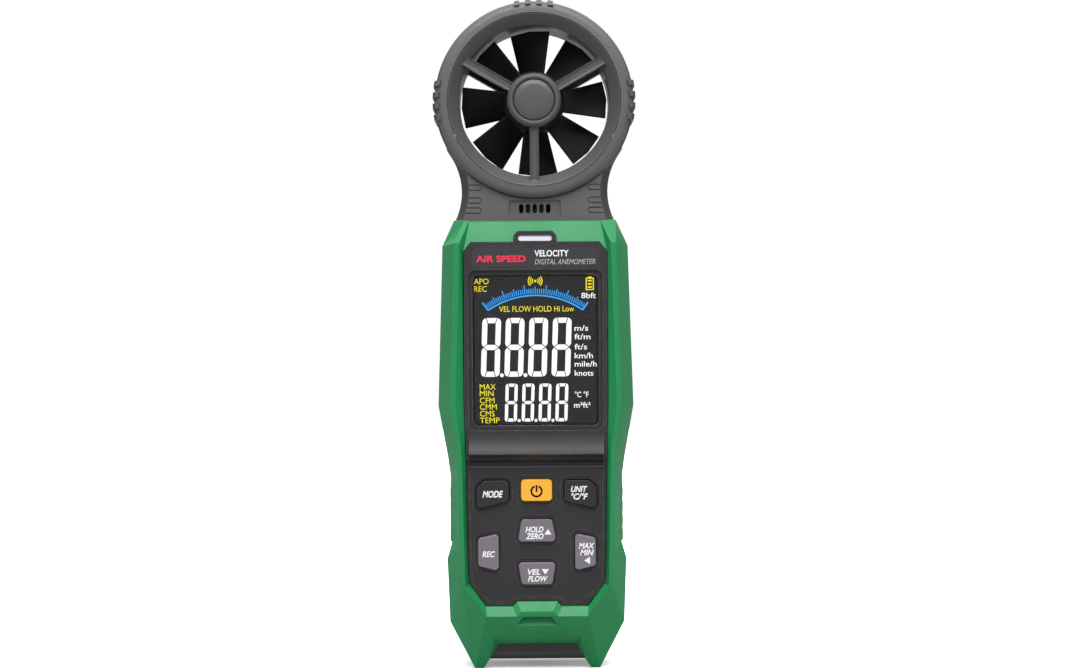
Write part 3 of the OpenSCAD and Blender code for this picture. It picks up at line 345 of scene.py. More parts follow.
# colours with a light and a dark patch of each, grain size and depth of grain in mm, the range of
# roughness, and how far edges are rubbed
plasticCommon = {"ior": 1.5, "patch": 14.0, "reach": 0.35}
litCommon = {"grain": 0.3, "patch": 9.0, "gloss": (0.4, 0.5)}
plastics = {
    "greenShell": dict(
        colour=(0.0045, 0.232, 0.07), shade=(0.0035, 0.208, 0.061), rubbed=(0.05, 0.36, 0.16),
        wear=0.3, grain=0.28, depth=0.02, gloss=(0.46, 0.56), dust=0.02),
    # blackShell's aside colour is painted shade: darker on sideways faces, and a painted shadow
    # low between the feet
    "blackShell": dict(
        colour=(0.1, 0.095, 0.1), shade=(0.084, 0.08, 0.085), rubbed=(0.26, 0.25, 0.26),
        aside=(0.022, 0.0205, 0.0215), wear=0.3, grain=0.3, depth=0.03, gloss=(0.4, 0.5),
        dust=0.02),
    "rearShell": dict(
        colour=(0.034, 0.0325, 0.035), shade=(0.028, 0.027, 0.029), rubbed=(0.14, 0.135, 0.14),
        wear=0.3, grain=0.3, depth=0.03, gloss=(0.4, 0.5), dust=0.02),
    "panelBlack": dict(
        colour=(0.018, 0.0168, 0.019), shade=(0.0145, 0.0135, 0.0153), rubbed=(0.22, 0.21, 0.22),
        wear=0.7, grain=0.22, depth=0.018, gloss=(0.4, 0.5), dust=0.02),
    "guardGrey": dict(
        colour=(0.075, 0.071, 0.076), shade=(0.06, 0.057, 0.061), rubbed=(0.2, 0.19, 0.2),
        wear=0.3, grain=0.3, depth=0.03, gloss=(0.36, 0.46), dust=0.02),
    "bladeBlack": dict(
        colour=(0.0045, 0.0045, 0.005), shade=(0.006, 0.006, 0.0065), rubbed=(0.03, 0.03, 0.03),
        wear=0.3, grain=0.2, depth=0.01, gloss=(0.55, 0.68), ior=1.3),
    "keyBlack": dict(
        colour=(0.0125, 0.0115, 0.013), shade=(0.0105, 0.0098, 0.011),
        rubbed=(0.09, 0.085, 0.09), wear=0.35, grain=0.2, depth=0.012, gloss=(0.42, 0.52)),
    "keyGrey": dict(
        colour=(0.175, 0.15, 0.18), shade=(0.155, 0.135, 0.162), rubbed=(0.36, 0.33, 0.36),
        wear=0.35, grain=0.2, depth=0.012, gloss=(0.46, 0.56)),
    "keyAmber": dict(
        colour=(0.88, 0.43, 0.03), shade=(0.84, 0.4, 0.025), rubbed=(1.0, 0.68, 0.25), wear=0.3,
        grain=0.2, depth=0.012, gloss=(0.42, 0.52)),
    "titleFilm": dict(
        colour=(0.026, 0.0245, 0.028), shade=(0.023, 0.0215, 0.025), rubbed=(0.08, 0.08, 0.08),
        wear=0.1, grain=0.12, depth=0.006, gloss=(0.4, 0.5)),
    "lensWhite": dict(
        colour=(0.78, 0.74, 0.86), shade=(0.72, 0.69, 0.8), rubbed=(0.9, 0.9, 0.92), wear=0.2,
        grain=0.5, depth=0.004, gloss=(0.2, 0.3)),
    "frameWhite": dict(
        colour=(0.72, 0.72, 0.7), shade=(0.66, 0.66, 0.65), rubbed=(0.8, 0.8, 0.8), wear=0.2,
        grain=0.3, depth=0.01, gloss=(0.4, 0.5)),
    "chipBlack": dict(
        colour=(0.02, 0.02, 0.021), shade=(0.03, 0.03, 0.031), rubbed=(0.1, 0.1, 0.1), wear=0.2,
        grain=0.1, depth=0.01, gloss=(0.45, 0.6)),
    "matRubber": dict(
        colour=(0.11, 0.11, 0.125), shade=(0.09, 0.09, 0.1), rubbed=(0.2, 0.2, 0.2), wear=0.1,
        grain=0.25, depth=0.01, gloss=(0.6, 0.75)),
    "boardGreen": dict(
        colour=(0.01, 0.11, 0.04), shade=(0.015, 0.16, 0.06), rubbed=(0.45, 0.38, 0.2), wear=0.5,
        grain=0.6, depth=0.02, gloss=(0.22, 0.32), patch=2.0),
    "cellJacket": dict(
        colour=(0.5, 0.36, 0.06), shade=(0.42, 0.29, 0.05), rubbed=(0.7, 0.6, 0.3), wear=0.3,
        grain=0.2, depth=0.006, gloss=(0.2, 0.3)),
    "ferrite": dict(
        colour=(0.05, 0.05, 0.054), shade=(0.035, 0.035, 0.038), rubbed=(0.15, 0.15, 0.15),
        wear=0.3, grain=0.15, depth=0.02, gloss=(0.5, 0.65)),
    "inkWhite": dict(
        colour=(0.85, 0.85, 0.87), shade=(0.8, 0.8, 0.82), grain=0.15, depth=0.004,
        gloss=(0.4, 0.5)),
    "inkSilver": dict(
        colour=(0.42, 0.42, 0.44), shade=(0.36, 0.36, 0.38), grain=0.15, depth=0.004,
        gloss=(0.4, 0.5)),
    "inkRed": dict(
        colour=(0.85, 0.015, 0.07), shade=(0.78, 0.012, 0.06), grain=0.15, depth=0.004,
        gloss=(0.4, 0.5)),
    "inkBlack": dict(
        colour=(0.004, 0.0035, 0.003), shade=(0.006, 0.005, 0.004), ior=1.15, grain=0.15,
        depth=0.004, gloss=(0.5, 0.6)),
    "displayDark": dict(
        colour=(0.009, 0.008, 0.01), shade=(0.011, 0.0095, 0.012), grain=0.4, depth=0.001,
        gloss=(0.35, 0.45), ior=1.2),
}
metals = {
    "steelBright": dict(
        colour=(0.62, 0.62, 0.64), shade=(0.5, 0.5, 0.52), width=0.08, depth=0.004,
        gloss=(0.22, 0.36)),
    "brassTurned": dict(
        colour=(0.78, 0.58, 0.24), shade=(0.68, 0.48, 0.18), width=0.08, depth=0.004,
        gloss=(0.2, 0.34)),
}
banded = {
    "zebraRubber": dict(
        colour=(0.55, 0.16, 0.3), shade=(0.03, 0.03, 0.03), pitch=0.2, grain=0.2, depth=0.01,
        gloss=(0.5, 0.65)),
    "flatLead": dict(
        colour=(0.5, 0.24, 0.05), shade=(0.62, 0.4, 0.16), pitch=0.4, grain=0.2, depth=0.01,
        gloss=(0.3, 0.4)),
}
lit = {
    "litWhite": dict(
        colour=(1, 1, 1), shade=(0.97, 0.98, 1), body=(0.4, 0.4, 0.4), strength=1.02),
    "litBlue": dict(
        colour=(0.0, 0.4, 1), shade=(0.0, 0.37, 0.96), body=(0, 0.1, 0.3), strength=1.2),
    "litYellow": dict(
        colour=(1, 0.86, 0.0), shade=(0.97, 0.84, 0.0), body=(0.3, 0.25, 0), strength=1.0),
}
glasses = {
    "windowGlass": dict(
        colour=(0.88, 0.87, 0.88), ior=1.4, grain=1.5, patch=11.0, gloss=(0.0, 0.015),
        spread=(0.35, 0.75)),
}
finishes = {}
for make, looks in ((makePlastic, plastics), (makeMetal, metals), (makeBanded, banded),
                    (makeLit, lit), (makeGlass, glasses)):
    for name, look in looks.items():
        finishes[name] = make(name, look)
print("finishes made:", len(finishes))


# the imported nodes: soft edges and finishes


def makeSmoothTree():
    tree = bpy.data.node_groups.new("shadeSmooth", "GeometryNodeTree")
    for side in ("INPUT", "OUTPUT"):
        tree.interface.new_socket("Geometry", in_out=side, socket_type="NodeSocketGeometry")
    source, result = tree.nodes.new("NodeGroupInput"), tree.nodes.new("NodeGroupOutput")
    smooth = tree.nodes.new("GeometryNodeSetShadeSmooth")
    tree.links.new(source.outputs[0], smooth.inputs["Geometry"])
    tree.links.new(smooth.outputs[0], result.inputs[0])
    return tree


smoothTree = makeSmoothTree()
# a distance in mm, and angles in degrees
softEdge = {"join": 0.002, "flatWithin": 0.8, "bendOver": 28, "turnedBendOver": 20,
            "faceWeight": 60}


def flattenFaces(piece):
    weld = piece.modifiers.new("weld", "WELD")
    weld.merge_threshold = softEdge["join"] * mm
    flat = piece.modifiers.new("flatFaces", "DECIMATE")
    flat.decimate_type = "DISSOLVE"
    flat.angle_limit = math.radians(softEdge["flatWithin"])


def softenEdges(piece, width, segments, bendOver, slide):
    bevel = piece.modifiers.new("softEdge", "BEVEL")
    bevel.width = width * mm
    bevel.segments = segments
    bevel.limit_method = "ANGLE"
    bevel.angle_limit = math.radians(bendOver)
    bevel.loop_slide = slide
    smooth = piece.modifiers.new("smooth", "NODES")
    smooth.node_group = smoothTree
    shade = piece.modifiers.new("evenShade", "WEIGHTED_NORMAL")
    shade.weight = softEdge["faceWeight"]


# finish: the nodes it goes on, with the radius of their edges in mm and its segments
nodeLooks = {
    "blackShell": {"front_housing": (0.2, 2)},
    "rearShell": {"rear_housing": (0.2, 2), "battery_cover": (0.2, 2)},
    "greenShell": {"front_cover": (0.3, 3), "rear_cover": (0.3, 3)},
    "panelBlack": {"front_panel": (0.16, 2)},
    "windowGlass": {"display_window": (0.1, 2)},
    "titleFilm": {"title_plate": (0.08, 2)},
    "lensWhite": {"indicator_lens": (0.2, 3)},
    "frameWhite": {"indicator_led": (0.1, 1), "lcd_frame": (0.1, 1), "backlight": (0.1, 1)},
    "displayDark": {"lcd_cell": (0.1, 1)},
    "zebraRubber": {"contact_strips": (0.1, 1)},
    "matRubber": {"keypad_mat": (0.15, 2)},
    "keyBlack": {"key_mode": (0.45, 4), "key_unit": (0.45, 4)},
    "keyAmber": {"key_power": (0.45, 4)},
    "keyGrey": {"key_hold": (0.45, 4), "key_flow": (0.45, 4), "key_record": (0.45, 4),
                "key_limits": (0.45, 4)},
    "boardGreen": {"main_board": (0.1, 1)},
    "chipBlack": {"board_chips": (0.12, 2), "buzzer": (0.15, 2), "speed_sensor": (0.1, 1),
                  "temperature_sensor": (0.08, 1)},
    "steelBright": {"board_screws": (0.1, 2), "housing_screws": (0.12, 2),
                    "cover_screw": (0.12, 2), "battery_springs": (0.08, 1),
                    "battery_plates": (0.1, 1), "rotor_shaft": (0.1, 2),
                    "front_bearing": (0.1, 2), "rear_bearing": (0.1, 2)},
    "cellJacket": {"batteries": (0.25, 3)},
    "brassTurned": {"tripod_insert": (0.15, 2)},
    "guardGrey": {"front_guard": (0.2, 2), "rear_guard": (0.2, 2), "front_hub_cap": (0.15, 2),
                  "rear_hub_cap": (0.15, 2)},
    "bladeBlack": {"impeller": (0.12, 2)},
    "ferrite": {"rotor_magnet": (0.15, 2)},
    "flatLead": {"sensor_lead": (0.05, 1)},
}
for finish, edges in nodeLooks.items():
    for name, (width, segments) in edges.items():
        nodes[name].material_slots[0].material = finishes[finish]
        flattenFaces(nodes[name])
        softenEdges(nodes[name], width, segments, softEdge["bendOver"], slide=False)
print("packed nodes finished:", sum(len(edges) for edges in nodeLooks.values()))


# the guards of the head, turned finely enough for a true circle

# in mm: radii first, then depths behind the rim of the housing
guardShape = {
    "turns": 160, "duct": 24.8, "wall": 26.75, "ridge": 28.4, "hub": 8.85, "cap": 6.8,
    "shaftHole": 1.4, "seatGap": 0.02,
    "lip": 3.3, "lipRound": (0.25, 0.3), "fall": 0.12, "fallWidth": 0.35, "ridgeFoot": 2.3,
    "wallTop": 5.4, "parting": 0.02,
    "hubDrop": 0.3, "capSeat": 1.2, "capEdge": (0.4, 0.5), "hubEdge": 0.9, "hubBackEdge": 0.6,
    "spoke": (2.2, 5.0), "spokeWidth": 3.0, "spokeEdge": 0.7, "spokeAngles": (30, 150, 270),
    "spokeInHub": 1.0, "spokeInWall": 0.15, "edge": 0.16, "edgeSegments": 2,
}


def addLathe(shape, centre, profile, side):
    # a closed profile of (radius, distance from the middle plane) turned around the rotor's axis
    rings = []
    for i in range(guardShape["turns"]):
        turn = math.tau * i / guardShape["turns"]
        rings.append([
            shape.verts.new(((centre.x + r * math.cos(turn)) * mm, (centre.y + side * y) * mm,
                             (centre.z + r * math.sin(turn)) * mm)) for r, y in profile])
    for here, after in zip(rings, rings[1:] + rings[:1]):
        for k in range(len(profile)):
            j = (k + 1) % len(profile)
            shape.faces.new((here[k], here[j], after[j], after[k]))


def addSpoke(shape, centre, side, angle, rim):
    # a bar from the hub into the wall, with the edges towards the air chamfered
    half, edge = guardShape["spokeWidth"] / 2, guardShape["spokeEdge"]
    near, far = (rim - depth for depth in guardShape["spoke"])
    reach = (guardShape["hub"] - guardShape["spokeInHub"],
             guardShape["wall"] - guardShape["spokeInWall"])
    section = [(far, -half), (far, half), (near + edge, half), (near, half - edge),
               (near, edge - half), (near + edge, -half)]
    cosine, sine = math.cos(math.radians(angle)), math.sin(math.radians(angle))
    ends = [[
        shape.verts.new(((centre.x + r * cosine - w * sine) * mm, (centre.y + side * y) * mm,
                         (centre.z + r * sine + w * cosine) * mm)) for y, w in section]
        for r in reach]
    for k in range(len(section)):
        j = (k + 1) % len(section)
        shape.faces.new((ends[0][k], ends[0][j], ends[1][j], ends[1][k]))
    shape.faces.new(ends[0][::-1])
    shape.faces.new(ends[1])


def ductProfile(rim):
    look = guardShape
    roundOut, roundBack = look["lipRound"]
    top = rim - look["fall"]
    return [
        (look["duct"], look["parting"]), (look["duct"], rim - look["lip"] - roundBack),
        (look["duct"] + roundOut, rim - look["lip"]), (look["ridge"] - look["fallWidth"], top),
        (look["ridge"], top), (look["ridge"], rim - look["ridgeFoot"]),
        (look["wall"], rim - look["wallTop"]), (look["wall"], look["parting"])]


def hubProfile(rim, centre):
    look = guardShape
    low, high = boxOf("rear_bearing")
    back, seatFloor = low.y - centre.y, high.y - centre.y
    seat = (high.x - low.x) / 2 + look["seatGap"]
    face = rim - look["hubDrop"]
    capOut, capDrop = look["capEdge"]
    return [
        (look["shaftHole"], face - look["capSeat"]), (look["cap"], face - look["capSeat"]),
        (look["cap"], face - capDrop), (look["cap"] + capOut, face),
        (look["hub"] - look["hubEdge"], face), (look["hub"], face - look["hubEdge"]),
        (look["hub"], back + look["hubBackEdge"]), (look["hub"] - look["hubBackEdge"], back),
        (seat, back), (seat, seatFloor), (look["shaftHole"], seatFloor)]


def makeGuard(name, side):
    centre = centreOf("impeller")
    low, high = boxOf(name)
    rim = abs((low.y if side < 0 else high.y) - centre.y)
    shape = bmesh.new()
    addLathe(shape, centre, ductProfile(rim), side)
    addLathe(shape, centre, hubProfile(rim, centre), side)
    for angle in guardShape["spokeAngles"]:
        addSpoke(shape, centre, side, angle, rim)
    piece = finishPiece(name + "Turned", shape, "guardGrey", "instrument")
    softenEdges(piece, guardShape["edge"], guardShape["edgeSegments"],
                softEdge["turnedBendOver"], slide=True)
    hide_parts(name)


def finishPiece(name, shape, finish, body):
    # an object from a finished bmesh, with its material and body
    bmesh.ops.recalc_face_normals(shape, faces=shape.faces)
    mesh = bpy.data.meshes.new(name)
    shape.to_mesh(mesh)
    shape.free()
    mesh.materials.clear()
    mesh.materials.append(finishes[finish])
    piece = bpy.data.objects.new(name, mesh)
    bpy.context.scene.collection.objects.link(piece)
    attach(piece, body)
    return piece


makeGuard("front_guard", -1)
makeGuard("rear_guard", 1)
print("guards turned")


# flat prints and lit shapes, drawn in millimetres on the face

sharpest = 0.35  # keeps the corners of an inset from running away
dotTurn = 345  # degrees of a dot's outline before its last side
letterSteps = 3


def inset(points, distance):
    # a closed outline drawn in by the same distance all round
    count, drawn = len(points), []
    steps = [(points[i], points[(i + 1) % count]) for i in range(count)]
    area = sum(first[0] * second[1] - second[0] * first[1] for first, second in steps)
    side = 1 if area > 0 else -1
    for i in range(count):
        before, here, after = (Vector(points[(i + step) % count]) for step in (-1, 0, 1))
        first, second = (here - before).normalized(), (after - here).normalized()
        normalA = side * Vector((-first.y, first.x))
        normalB = side * Vector((-second.y, second.x))
        middle = (normalA + normalB).normalized()
        drawn.append(tuple(here + middle * distance / max(middle.dot(normalA), sharpest)))
    return drawn


def arcPoints(centre, radius, start, end, steps):
    turns = [math.radians(start + (end - start) * i / steps) for i in range(steps + 1)]
    return [(centre[0] + radius * math.cos(a), centre[1] + radius * math.sin(a)) for a in turns]


def dotOutline(centre, radius, steps):
    return arcPoints(centre, radius, 0, dotTurn, steps)


def ringOutline(centre, radius, stroke, start, end, steps):
    outer = arcPoints(centre, radius + stroke / 2, start, end, steps)
    return outer + arcPoints(centre, radius - stroke / 2, end, start, steps)


def barOutline(start, end, stroke):
    start, end = Vector(start), Vector(end)
    along = (end - start).normalized()
    across = Vector((-along.y, along.x)) * stroke / 2
    return [tuple(p) for p in (start - across, end - across, end + across, start + across)]


def shapeMesh(outlines, yFace, thickness):
    # upright plates from outlines in x and z, standing out from yFace towards the viewer
    shape = bmesh.new()
    for outline in outlines:
        front = [shape.verts.new((x * mm, (yFace - thickness) * mm, z * mm)) for x, z in outline]
        back = [shape.verts.new((x * mm, yFace * mm, z * mm)) for x, z in outline]
        shape.faces.new(front)
        shape.faces.new(back[::-1])
        for i in range(len(front)):
            j = (i + 1) % len(front)
            shape.faces.new((front[i], back[i], back[j], front[j]))
    bmesh.ops.recalc_face_normals(shape, faces=shape.faces)
    mesh = bpy.data.meshes.new("plates")
    shape.to_mesh(mesh)
    shape.free()
    return mesh


def textMesh(words, left, right, baseline, capital, yFace, thickness, slant=0.0, weight=0.0):
    # words set to fill a width, with their capitals at the given height
    curve = bpy.data.curves.new("letters", "FONT")
    curve.body = "H"
    curve.size = 1.0
    probe = bpy.data.objects.new("letters", curve)
    bpy.context.scene.collection.objects.link(probe)
    bpy.context.view_layer.update()
    capitalHeight = probe.dimensions.y
    curve.body = words
    curve.shear = slant
    curve.offset = weight
    curve.extrude = 0.5
    curve.resolution_u = letterSteps
    bpy.context.view_layer.update()
    depsgraph = bpy.context.evaluated_depsgraph_get()
    mesh = bpy.data.meshes.new_from_object(probe.evaluated_get(depsgraph))
    bpy.data.objects.remove(probe)
    low = min(v.co.x for v in mesh.vertices)
    wide = max(v.co.x for v in mesh.vertices) - low
    for vertex in mesh.vertices:
        x, height, depth = vertex.co
        vertex.co = (
            (left + (x - low) * (right - left) / wide) * mm,
            (yFace - thickness * (depth + curve.extrude)) * mm,
            (baseline + height * capital / capitalHeight) * mm,
        )
    return mesh


def addPiece(name, meshes, finish, body):
    joined = bmesh.new()
    for mesh in meshes:
        joined.from_mesh(mesh)
    return finishPiece(name, joined, finish, body)


# the display

# in shares of a digit's width, but shoulder in shares of its height and gap in mm
digitShape = {"stroke": 0.31, "corner": 0.17, "cornerRound": 0.3, "cornerTurn": (180, 100),
              "cornerSteps": 6, "point": 0.1, "shoulder": 0.055, "gap": 0.27, "slant": 0.034}


def digitOutlines(left, bottom, width, height):
    # the seven segments of a lit 8, with thin dark joints between them
    stroke, point = width * digitShape["stroke"], width * digitShape["point"]
    corner = width * digitShape["corner"] + digitShape["cornerRound"] * stroke
    shoulder, middle = height * digitShape["shoulder"], height / 2
    arc = arcPoints((corner, height - corner), corner,
                    *digitShape["cornerTurn"], digitShape["cornerSteps"])
    upperLeft = [(stroke, height - stroke), (stroke, middle + stroke / 2), (point, middle),
                 (0, middle + shoulder), *arc]
    top = [arc[-1], (width - arc[-1][0], arc[-1][1]), (width - stroke, height - stroke),
           (stroke, height - stroke)]
    bar = [(point, middle), (stroke, middle + stroke / 2), (width - stroke, middle + stroke / 2),
           (width - point, middle), (width - stroke, middle - stroke / 2),
           (stroke, middle - stroke / 2)]
    upper = [upperLeft, top, [(width - x, z) for x, z in upperLeft]]
    lower = [[(x, height - z) for x, z in part] for part in upper]
    parts = [inset(part, digitShape["gap"] / 2) for part in upper + lower + [bar]]
    slant = digitShape["slant"]
    return [[(left + x + slant * z, bottom + z) for x, z in part] for part in parts]


# in mm from the middle of the window
display = {
    "bigDigits": dict(count=4, left=-18.1, bottom=-8.85, pitch=7.68, width=6.4, height=19.5,
                      dots=2, dot=0.64),
    "smallDigits": dict(count=4, left=-10.4, bottom=-23.5, pitch=5.5, width=4.25, height=12.7,
                        dots=3, dot=0.5),
    "dotSteps": 23,
    "dial": dict(radius=27.1, centre=-9.3, half=34.7, stroke=0.45, steps=48, ticks=50, tick=0.27,
                 foot=0.55, heights=(2.2, 2.9, 3.5), wing=3.1),
    "sound": dict(height=22.5, dot=0.4, dotSteps=15, rings=(0.95, 1.6, 2.25), stroke=0.34,
                  starts=(-42, 138), sweep=84, steps=10),
    "battery": dict(place=(17.8, 21.7), half=1.15, end=1.3, low=-2.1, high=1.6, stroke=0.34,
                    cap=(0.6, 1.95, 0.4), bars=(-1.3, -0.25, 0.8), barHalf=0.65, barStroke=0.5),
    "thickness": 0.04, "behind": 0.01, "whiteCapital": 1.75, "whiteWeight": 0.008,
    "yellowCapital": 1.8,
}
# words, left end, right end and baseline
displayWords = {
    "white": [
        ("m/s", 12.7, 17.2, 6.2), ("ft/m", 12.7, 17.9, 3.4), ("ft/s", 12.7, 16.8, 0.1),
        ("km/h", 12.7, 18.7, -2.8), ("mile/h", 12.7, 19.9, -5.5), ("knots", 12.7, 18.8, -8.5),
        ("°C °F", 12.7, 17.2, -15.5), ("m²ft²", 12.4, 17.8, -18.9), ("8bft", 15.0, 19.8, 16.8)],
    "yellow": [
        ("APO", -20.0, -15.2, 21.55), ("REC", -20.0, -15.8, 19.1),
        ("VEL FLOW HOLD Hi Low", -11.8, 12.6, 12.5), ("MAX", -18.3, -13.1, -12.85),
        ("MIN", -18.3, -13.8, -15.0), ("CFM", -18.3, -13.5, -17.3),
        ("CMM", -18.3, -12.8, -19.4), ("CMS", -18.3, -13.5, -21.6),
        ("TEMP", -18.3, -11.9, -23.8)],
}
windowMiddle = centreOf("display_window").z
cellFace = boxOf("lcd_cell")[0].y - display["behind"]


def numberOutlines():
    shapes = []
    for size in (display["bigDigits"], display["smallDigits"]):
        bottom = windowMiddle + size["bottom"]
        for i in range(size["count"]):
            left = size["left"] + i * size["pitch"]
            shapes += digitOutlines(left, bottom, size["width"], size["height"])
            if i < size["dots"]:
                spot = (left + (size["width"] + size["pitch"]) / 2, bottom + size["dot"])
                shapes.append(dotOutline(spot, size["dot"], display["dotSteps"]))
    return shapes


def dialOutlines():
    # an arc with ticks of three heights, and a plain wing at each end
    dial = display["dial"]
    hub = Vector((0, windowMiddle + dial["centre"]))
    shapes = [ringOutline(hub, dial["radius"], dial["stroke"], 90 + dial["half"],
                          90 - dial["half"], dial["steps"])]
    for i in range(dial["ticks"] + 1):
        turn = math.radians(90 + dial["half"] * (1 - 2 * i / dial["ticks"]))
        outward = Vector((math.cos(turn), math.sin(turn)))
        atEnd = i in (0, dial["ticks"])
        height = dial["heights"][0 if i % 5 else 1 if i % 10 else 2]
        start = dial["radius"] + (0 if atEnd else dial["foot"])
        reach = dial["radius"] + (dial["wing"] if atEnd else height)
        shapes.append(barOutline(hub + outward * start, hub + outward * reach,
                                 dial["stroke"] if atEnd else dial["tick"]))
    return shapes


def iconOutlines():
    # sound waves around a dot, and an upright battery with three bars
    sound, battery = display["sound"], display["battery"]
    spot = (0.0, windowMiddle + sound["height"])
    shapes = [dotOutline(spot, sound["dot"], sound["dotSteps"])]
    for radius in sound["rings"]:
        for start in sound["starts"]:
            shapes.append(ringOutline(spot, radius, sound["stroke"], start,
                                      start + sound["sweep"], sound["steps"]))
    x, z = battery["place"][0], windowMiddle + battery["place"][1]
    half, end, low, high = (battery[key] for key in ("half", "end", "low", "high"))
    capHalf, capLevel, capStroke = battery["cap"]
    lines = [(-half, low, -half, high), (half, high, half, low),
             (-end, low, end, low), (-end, high, end, high)]
    shapes += [barOutline((x + a, z + b), (x + c, z + d), battery["stroke"])
               for a, b, c, d in lines]
    rows = [(capHalf, capLevel, capStroke)]
    rows += [(battery["barHalf"], level, battery["barStroke"]) for level in battery["bars"]]
    shapes += [barOutline((x - wide, z + level), (x + wide, z + level), stroke)
               for wide, level, stroke in rows]
    return shapes


def platesOnCell(outlines):
    return shapeMesh(outlines, cellFace, display["thickness"])


def wordsOnCell(rows, capital, weight=0.0):
    return [textMesh(words, left, right, windowMiddle + baseline, capital, cellFace,
                     display["thickness"], weight=weight)
            for words, left, right, baseline in rows]


whiteWords = wordsOnCell(displayWords["white"], display["whiteCapital"], display["whiteWeight"])
yellowWords = wordsOnCell(displayWords["yellow"], display["yellowCapital"])
addPiece("displayDigits", [platesOnCell(numberOutlines()), *whiteWords],
         "litWhite", "instrument")
addPiece("displayDial", [platesOnCell(dialOutlines())], "litBlue", "instrument")
addPiece("displayMarks", [platesOnCell(iconOutlines()), *yellowWords],
         "litYellow", "instrument")
print("display lit")


# legends on the keys

legendStyle = {"ink": "inkWhite", "slant": 0.28, "weight": 0.03, "thickness": 0.03}
# in mm from the middle of the key: words, left end, right end, baseline and capital height, then
# the place, width, height and direction of an arrow
legends = {
    "key_mode": dict(
        body="mode_key", slot="key_black", rows=[("MODE", -3.3, 3.4, -0.9, 2.0)]),
    "key_unit": dict(
        body="unit_key", slot="key_black",
        rows=[("UNIT", -3.1, 2.2, 0.7, 1.8), ("°C/°F", -3.0, 2.4, -1.7, 1.8)]),
    "key_hold": dict(
        body="hold_key", slot="key_grey", arrow=(3.6, -0.4, 2.3, 1.8, 90),
        rows=[("HOLD", -3.7, 2.2, -0.5, 1.75), ("ZERO", -3.6, 2.2, -2.7, 1.75)]),
    "key_flow": dict(
        body="flow_key", slot="key_grey", arrow=(2.7, 0.6, 2.4, 1.75, 270),
        rows=[("VEL", -3.0, 1.1, -0.3, 1.7), ("FLOW", -3.0, 3.5, -2.5, 1.7)]),
    "key_record": dict(
        body="record_key", slot="key_grey", rows=[("REC", -2.0, 2.2, -1.4, 1.8)]),
    "key_limits": dict(
        body="limits_key", slot="key_grey", arrow=(0.5, -2.7, 2.4, 1.9, 180),
        rows=[("MAX", -2.2, 3.0, 1.2, 1.75), ("MIN", -1.8, 2.7, -1.0, 1.75)]),
}
# a ring with a gap at its top, and the bar in the gap
powerSign = {"drop": 0.3, "radius": 1.7, "stroke": 0.6, "turn": (112, 428), "steps": 40,
             "barLow": 0.2, "barHigh": 2.0}


def arrowOutline(x, z, width, height, turn):
    points = [(height / 2, 0), (-height / 2, width / 2), (-height / 2, -width / 2)]
    cosine, sine = math.cos(math.radians(turn)), math.sin(math.radians(turn))
    return [(x + a * cosine - b * sine, z + a * sine + b * cosine) for a, b in points]


def powerOutlines(x, z):
    z -= powerSign["drop"]
    stroke = powerSign["stroke"]
    ring = ringOutline((x, z), powerSign["radius"], stroke, *powerSign["turn"],
                       powerSign["steps"])
    return [ring, barOutline((x, z - powerSign["barLow"]), (x, z + powerSign["barHigh"]), stroke)]


for name, legend in legends.items():
    centre, face = centreOf(name), boxOf(name)[0].y
    meshes = [
        textMesh(words, centre.x + left, centre.x + right, centre.z + baseline, capital, face,
                 legendStyle["thickness"], slant=legendStyle["slant"],
                 weight=legendStyle["weight"])
        for words, left, right, baseline, capital in legend["rows"]]
    if "arrow" in legend:
        x, z, *shape = legend["arrow"]
        arrow = arrowOutline(centre.x + x, centre.z + z, *shape)
        meshes.append(shapeMesh([arrow], face, legendStyle["thickness"]))
    addPiece(name + "_legend", meshes, legendStyle["ink"], legend["body"])
power, powerFace = centreOf("key_power"), boxOf("key_power")[0].y
powerPlates = shapeMesh(powerOutlines(power.x, power.z), powerFace, legendStyle["thickness"])
addPiece("key_power_legend", [powerPlates], "inkBlack", "power_key")
print("key legends printed")


# painted highlight: a pale grey strip along the top of the key deck, standing in for the light
# caught by the bevel there

paintedDeckHighlight = {"above": 3.5, "height": 0.5, "half": 21.9, "behind": 1.4, "thickness": 0.05}
highlightZ = boxOf("key_power")[1].z + paintedDeckHighlight["above"] - paintedDeckHighlight["height"] / 2
highlightShape = barOutline((-paintedDeckHighlight["half"], highlightZ), (paintedDeckHighlight["half"], highlightZ), paintedDeckHighlight["height"])
highlightPlate = shapeMesh([highlightShape], powerFace + paintedDeckHighlight["behind"], paintedDeckHighlight["thickness"])
addPiece("deckPaintedHighlight", [highlightPlate], "guardGrey", "instrument")
print("deck edge laid")


# the title plate

# words, left end, right end, baseline, capital height, ink, slant and weight
titleWords = [
    ("AIR SPEED", -19.2, -3.0, 1.8, 1.95, "inkRed", 0.0, 0.03),
    ("VELOCITY", -0.2, 10.9, 3.5, 1.95, "inkWhite", 0.0, 0.018),
    ("DIGITAL ANEMOMETER", -0.1, 19.5, 0.9, 1.65, "inkSilver", 0.25, 0.0),
]
titleThickness = 0.03
plateLow = boxOf("title_plate")[0]
for i, (words, left, right, baseline, capital, ink, slant, weight) in enumerate(titleWords):
    mesh = textMesh(words, left, right, plateLow.z + baseline, capital, plateLow.y,
                    titleThickness, slant=slant, weight=weight)
    addPiece(f"titleLine{i + 1}", [mesh], ink, "instrument")
print("title plate printed")


# stage, light and camera

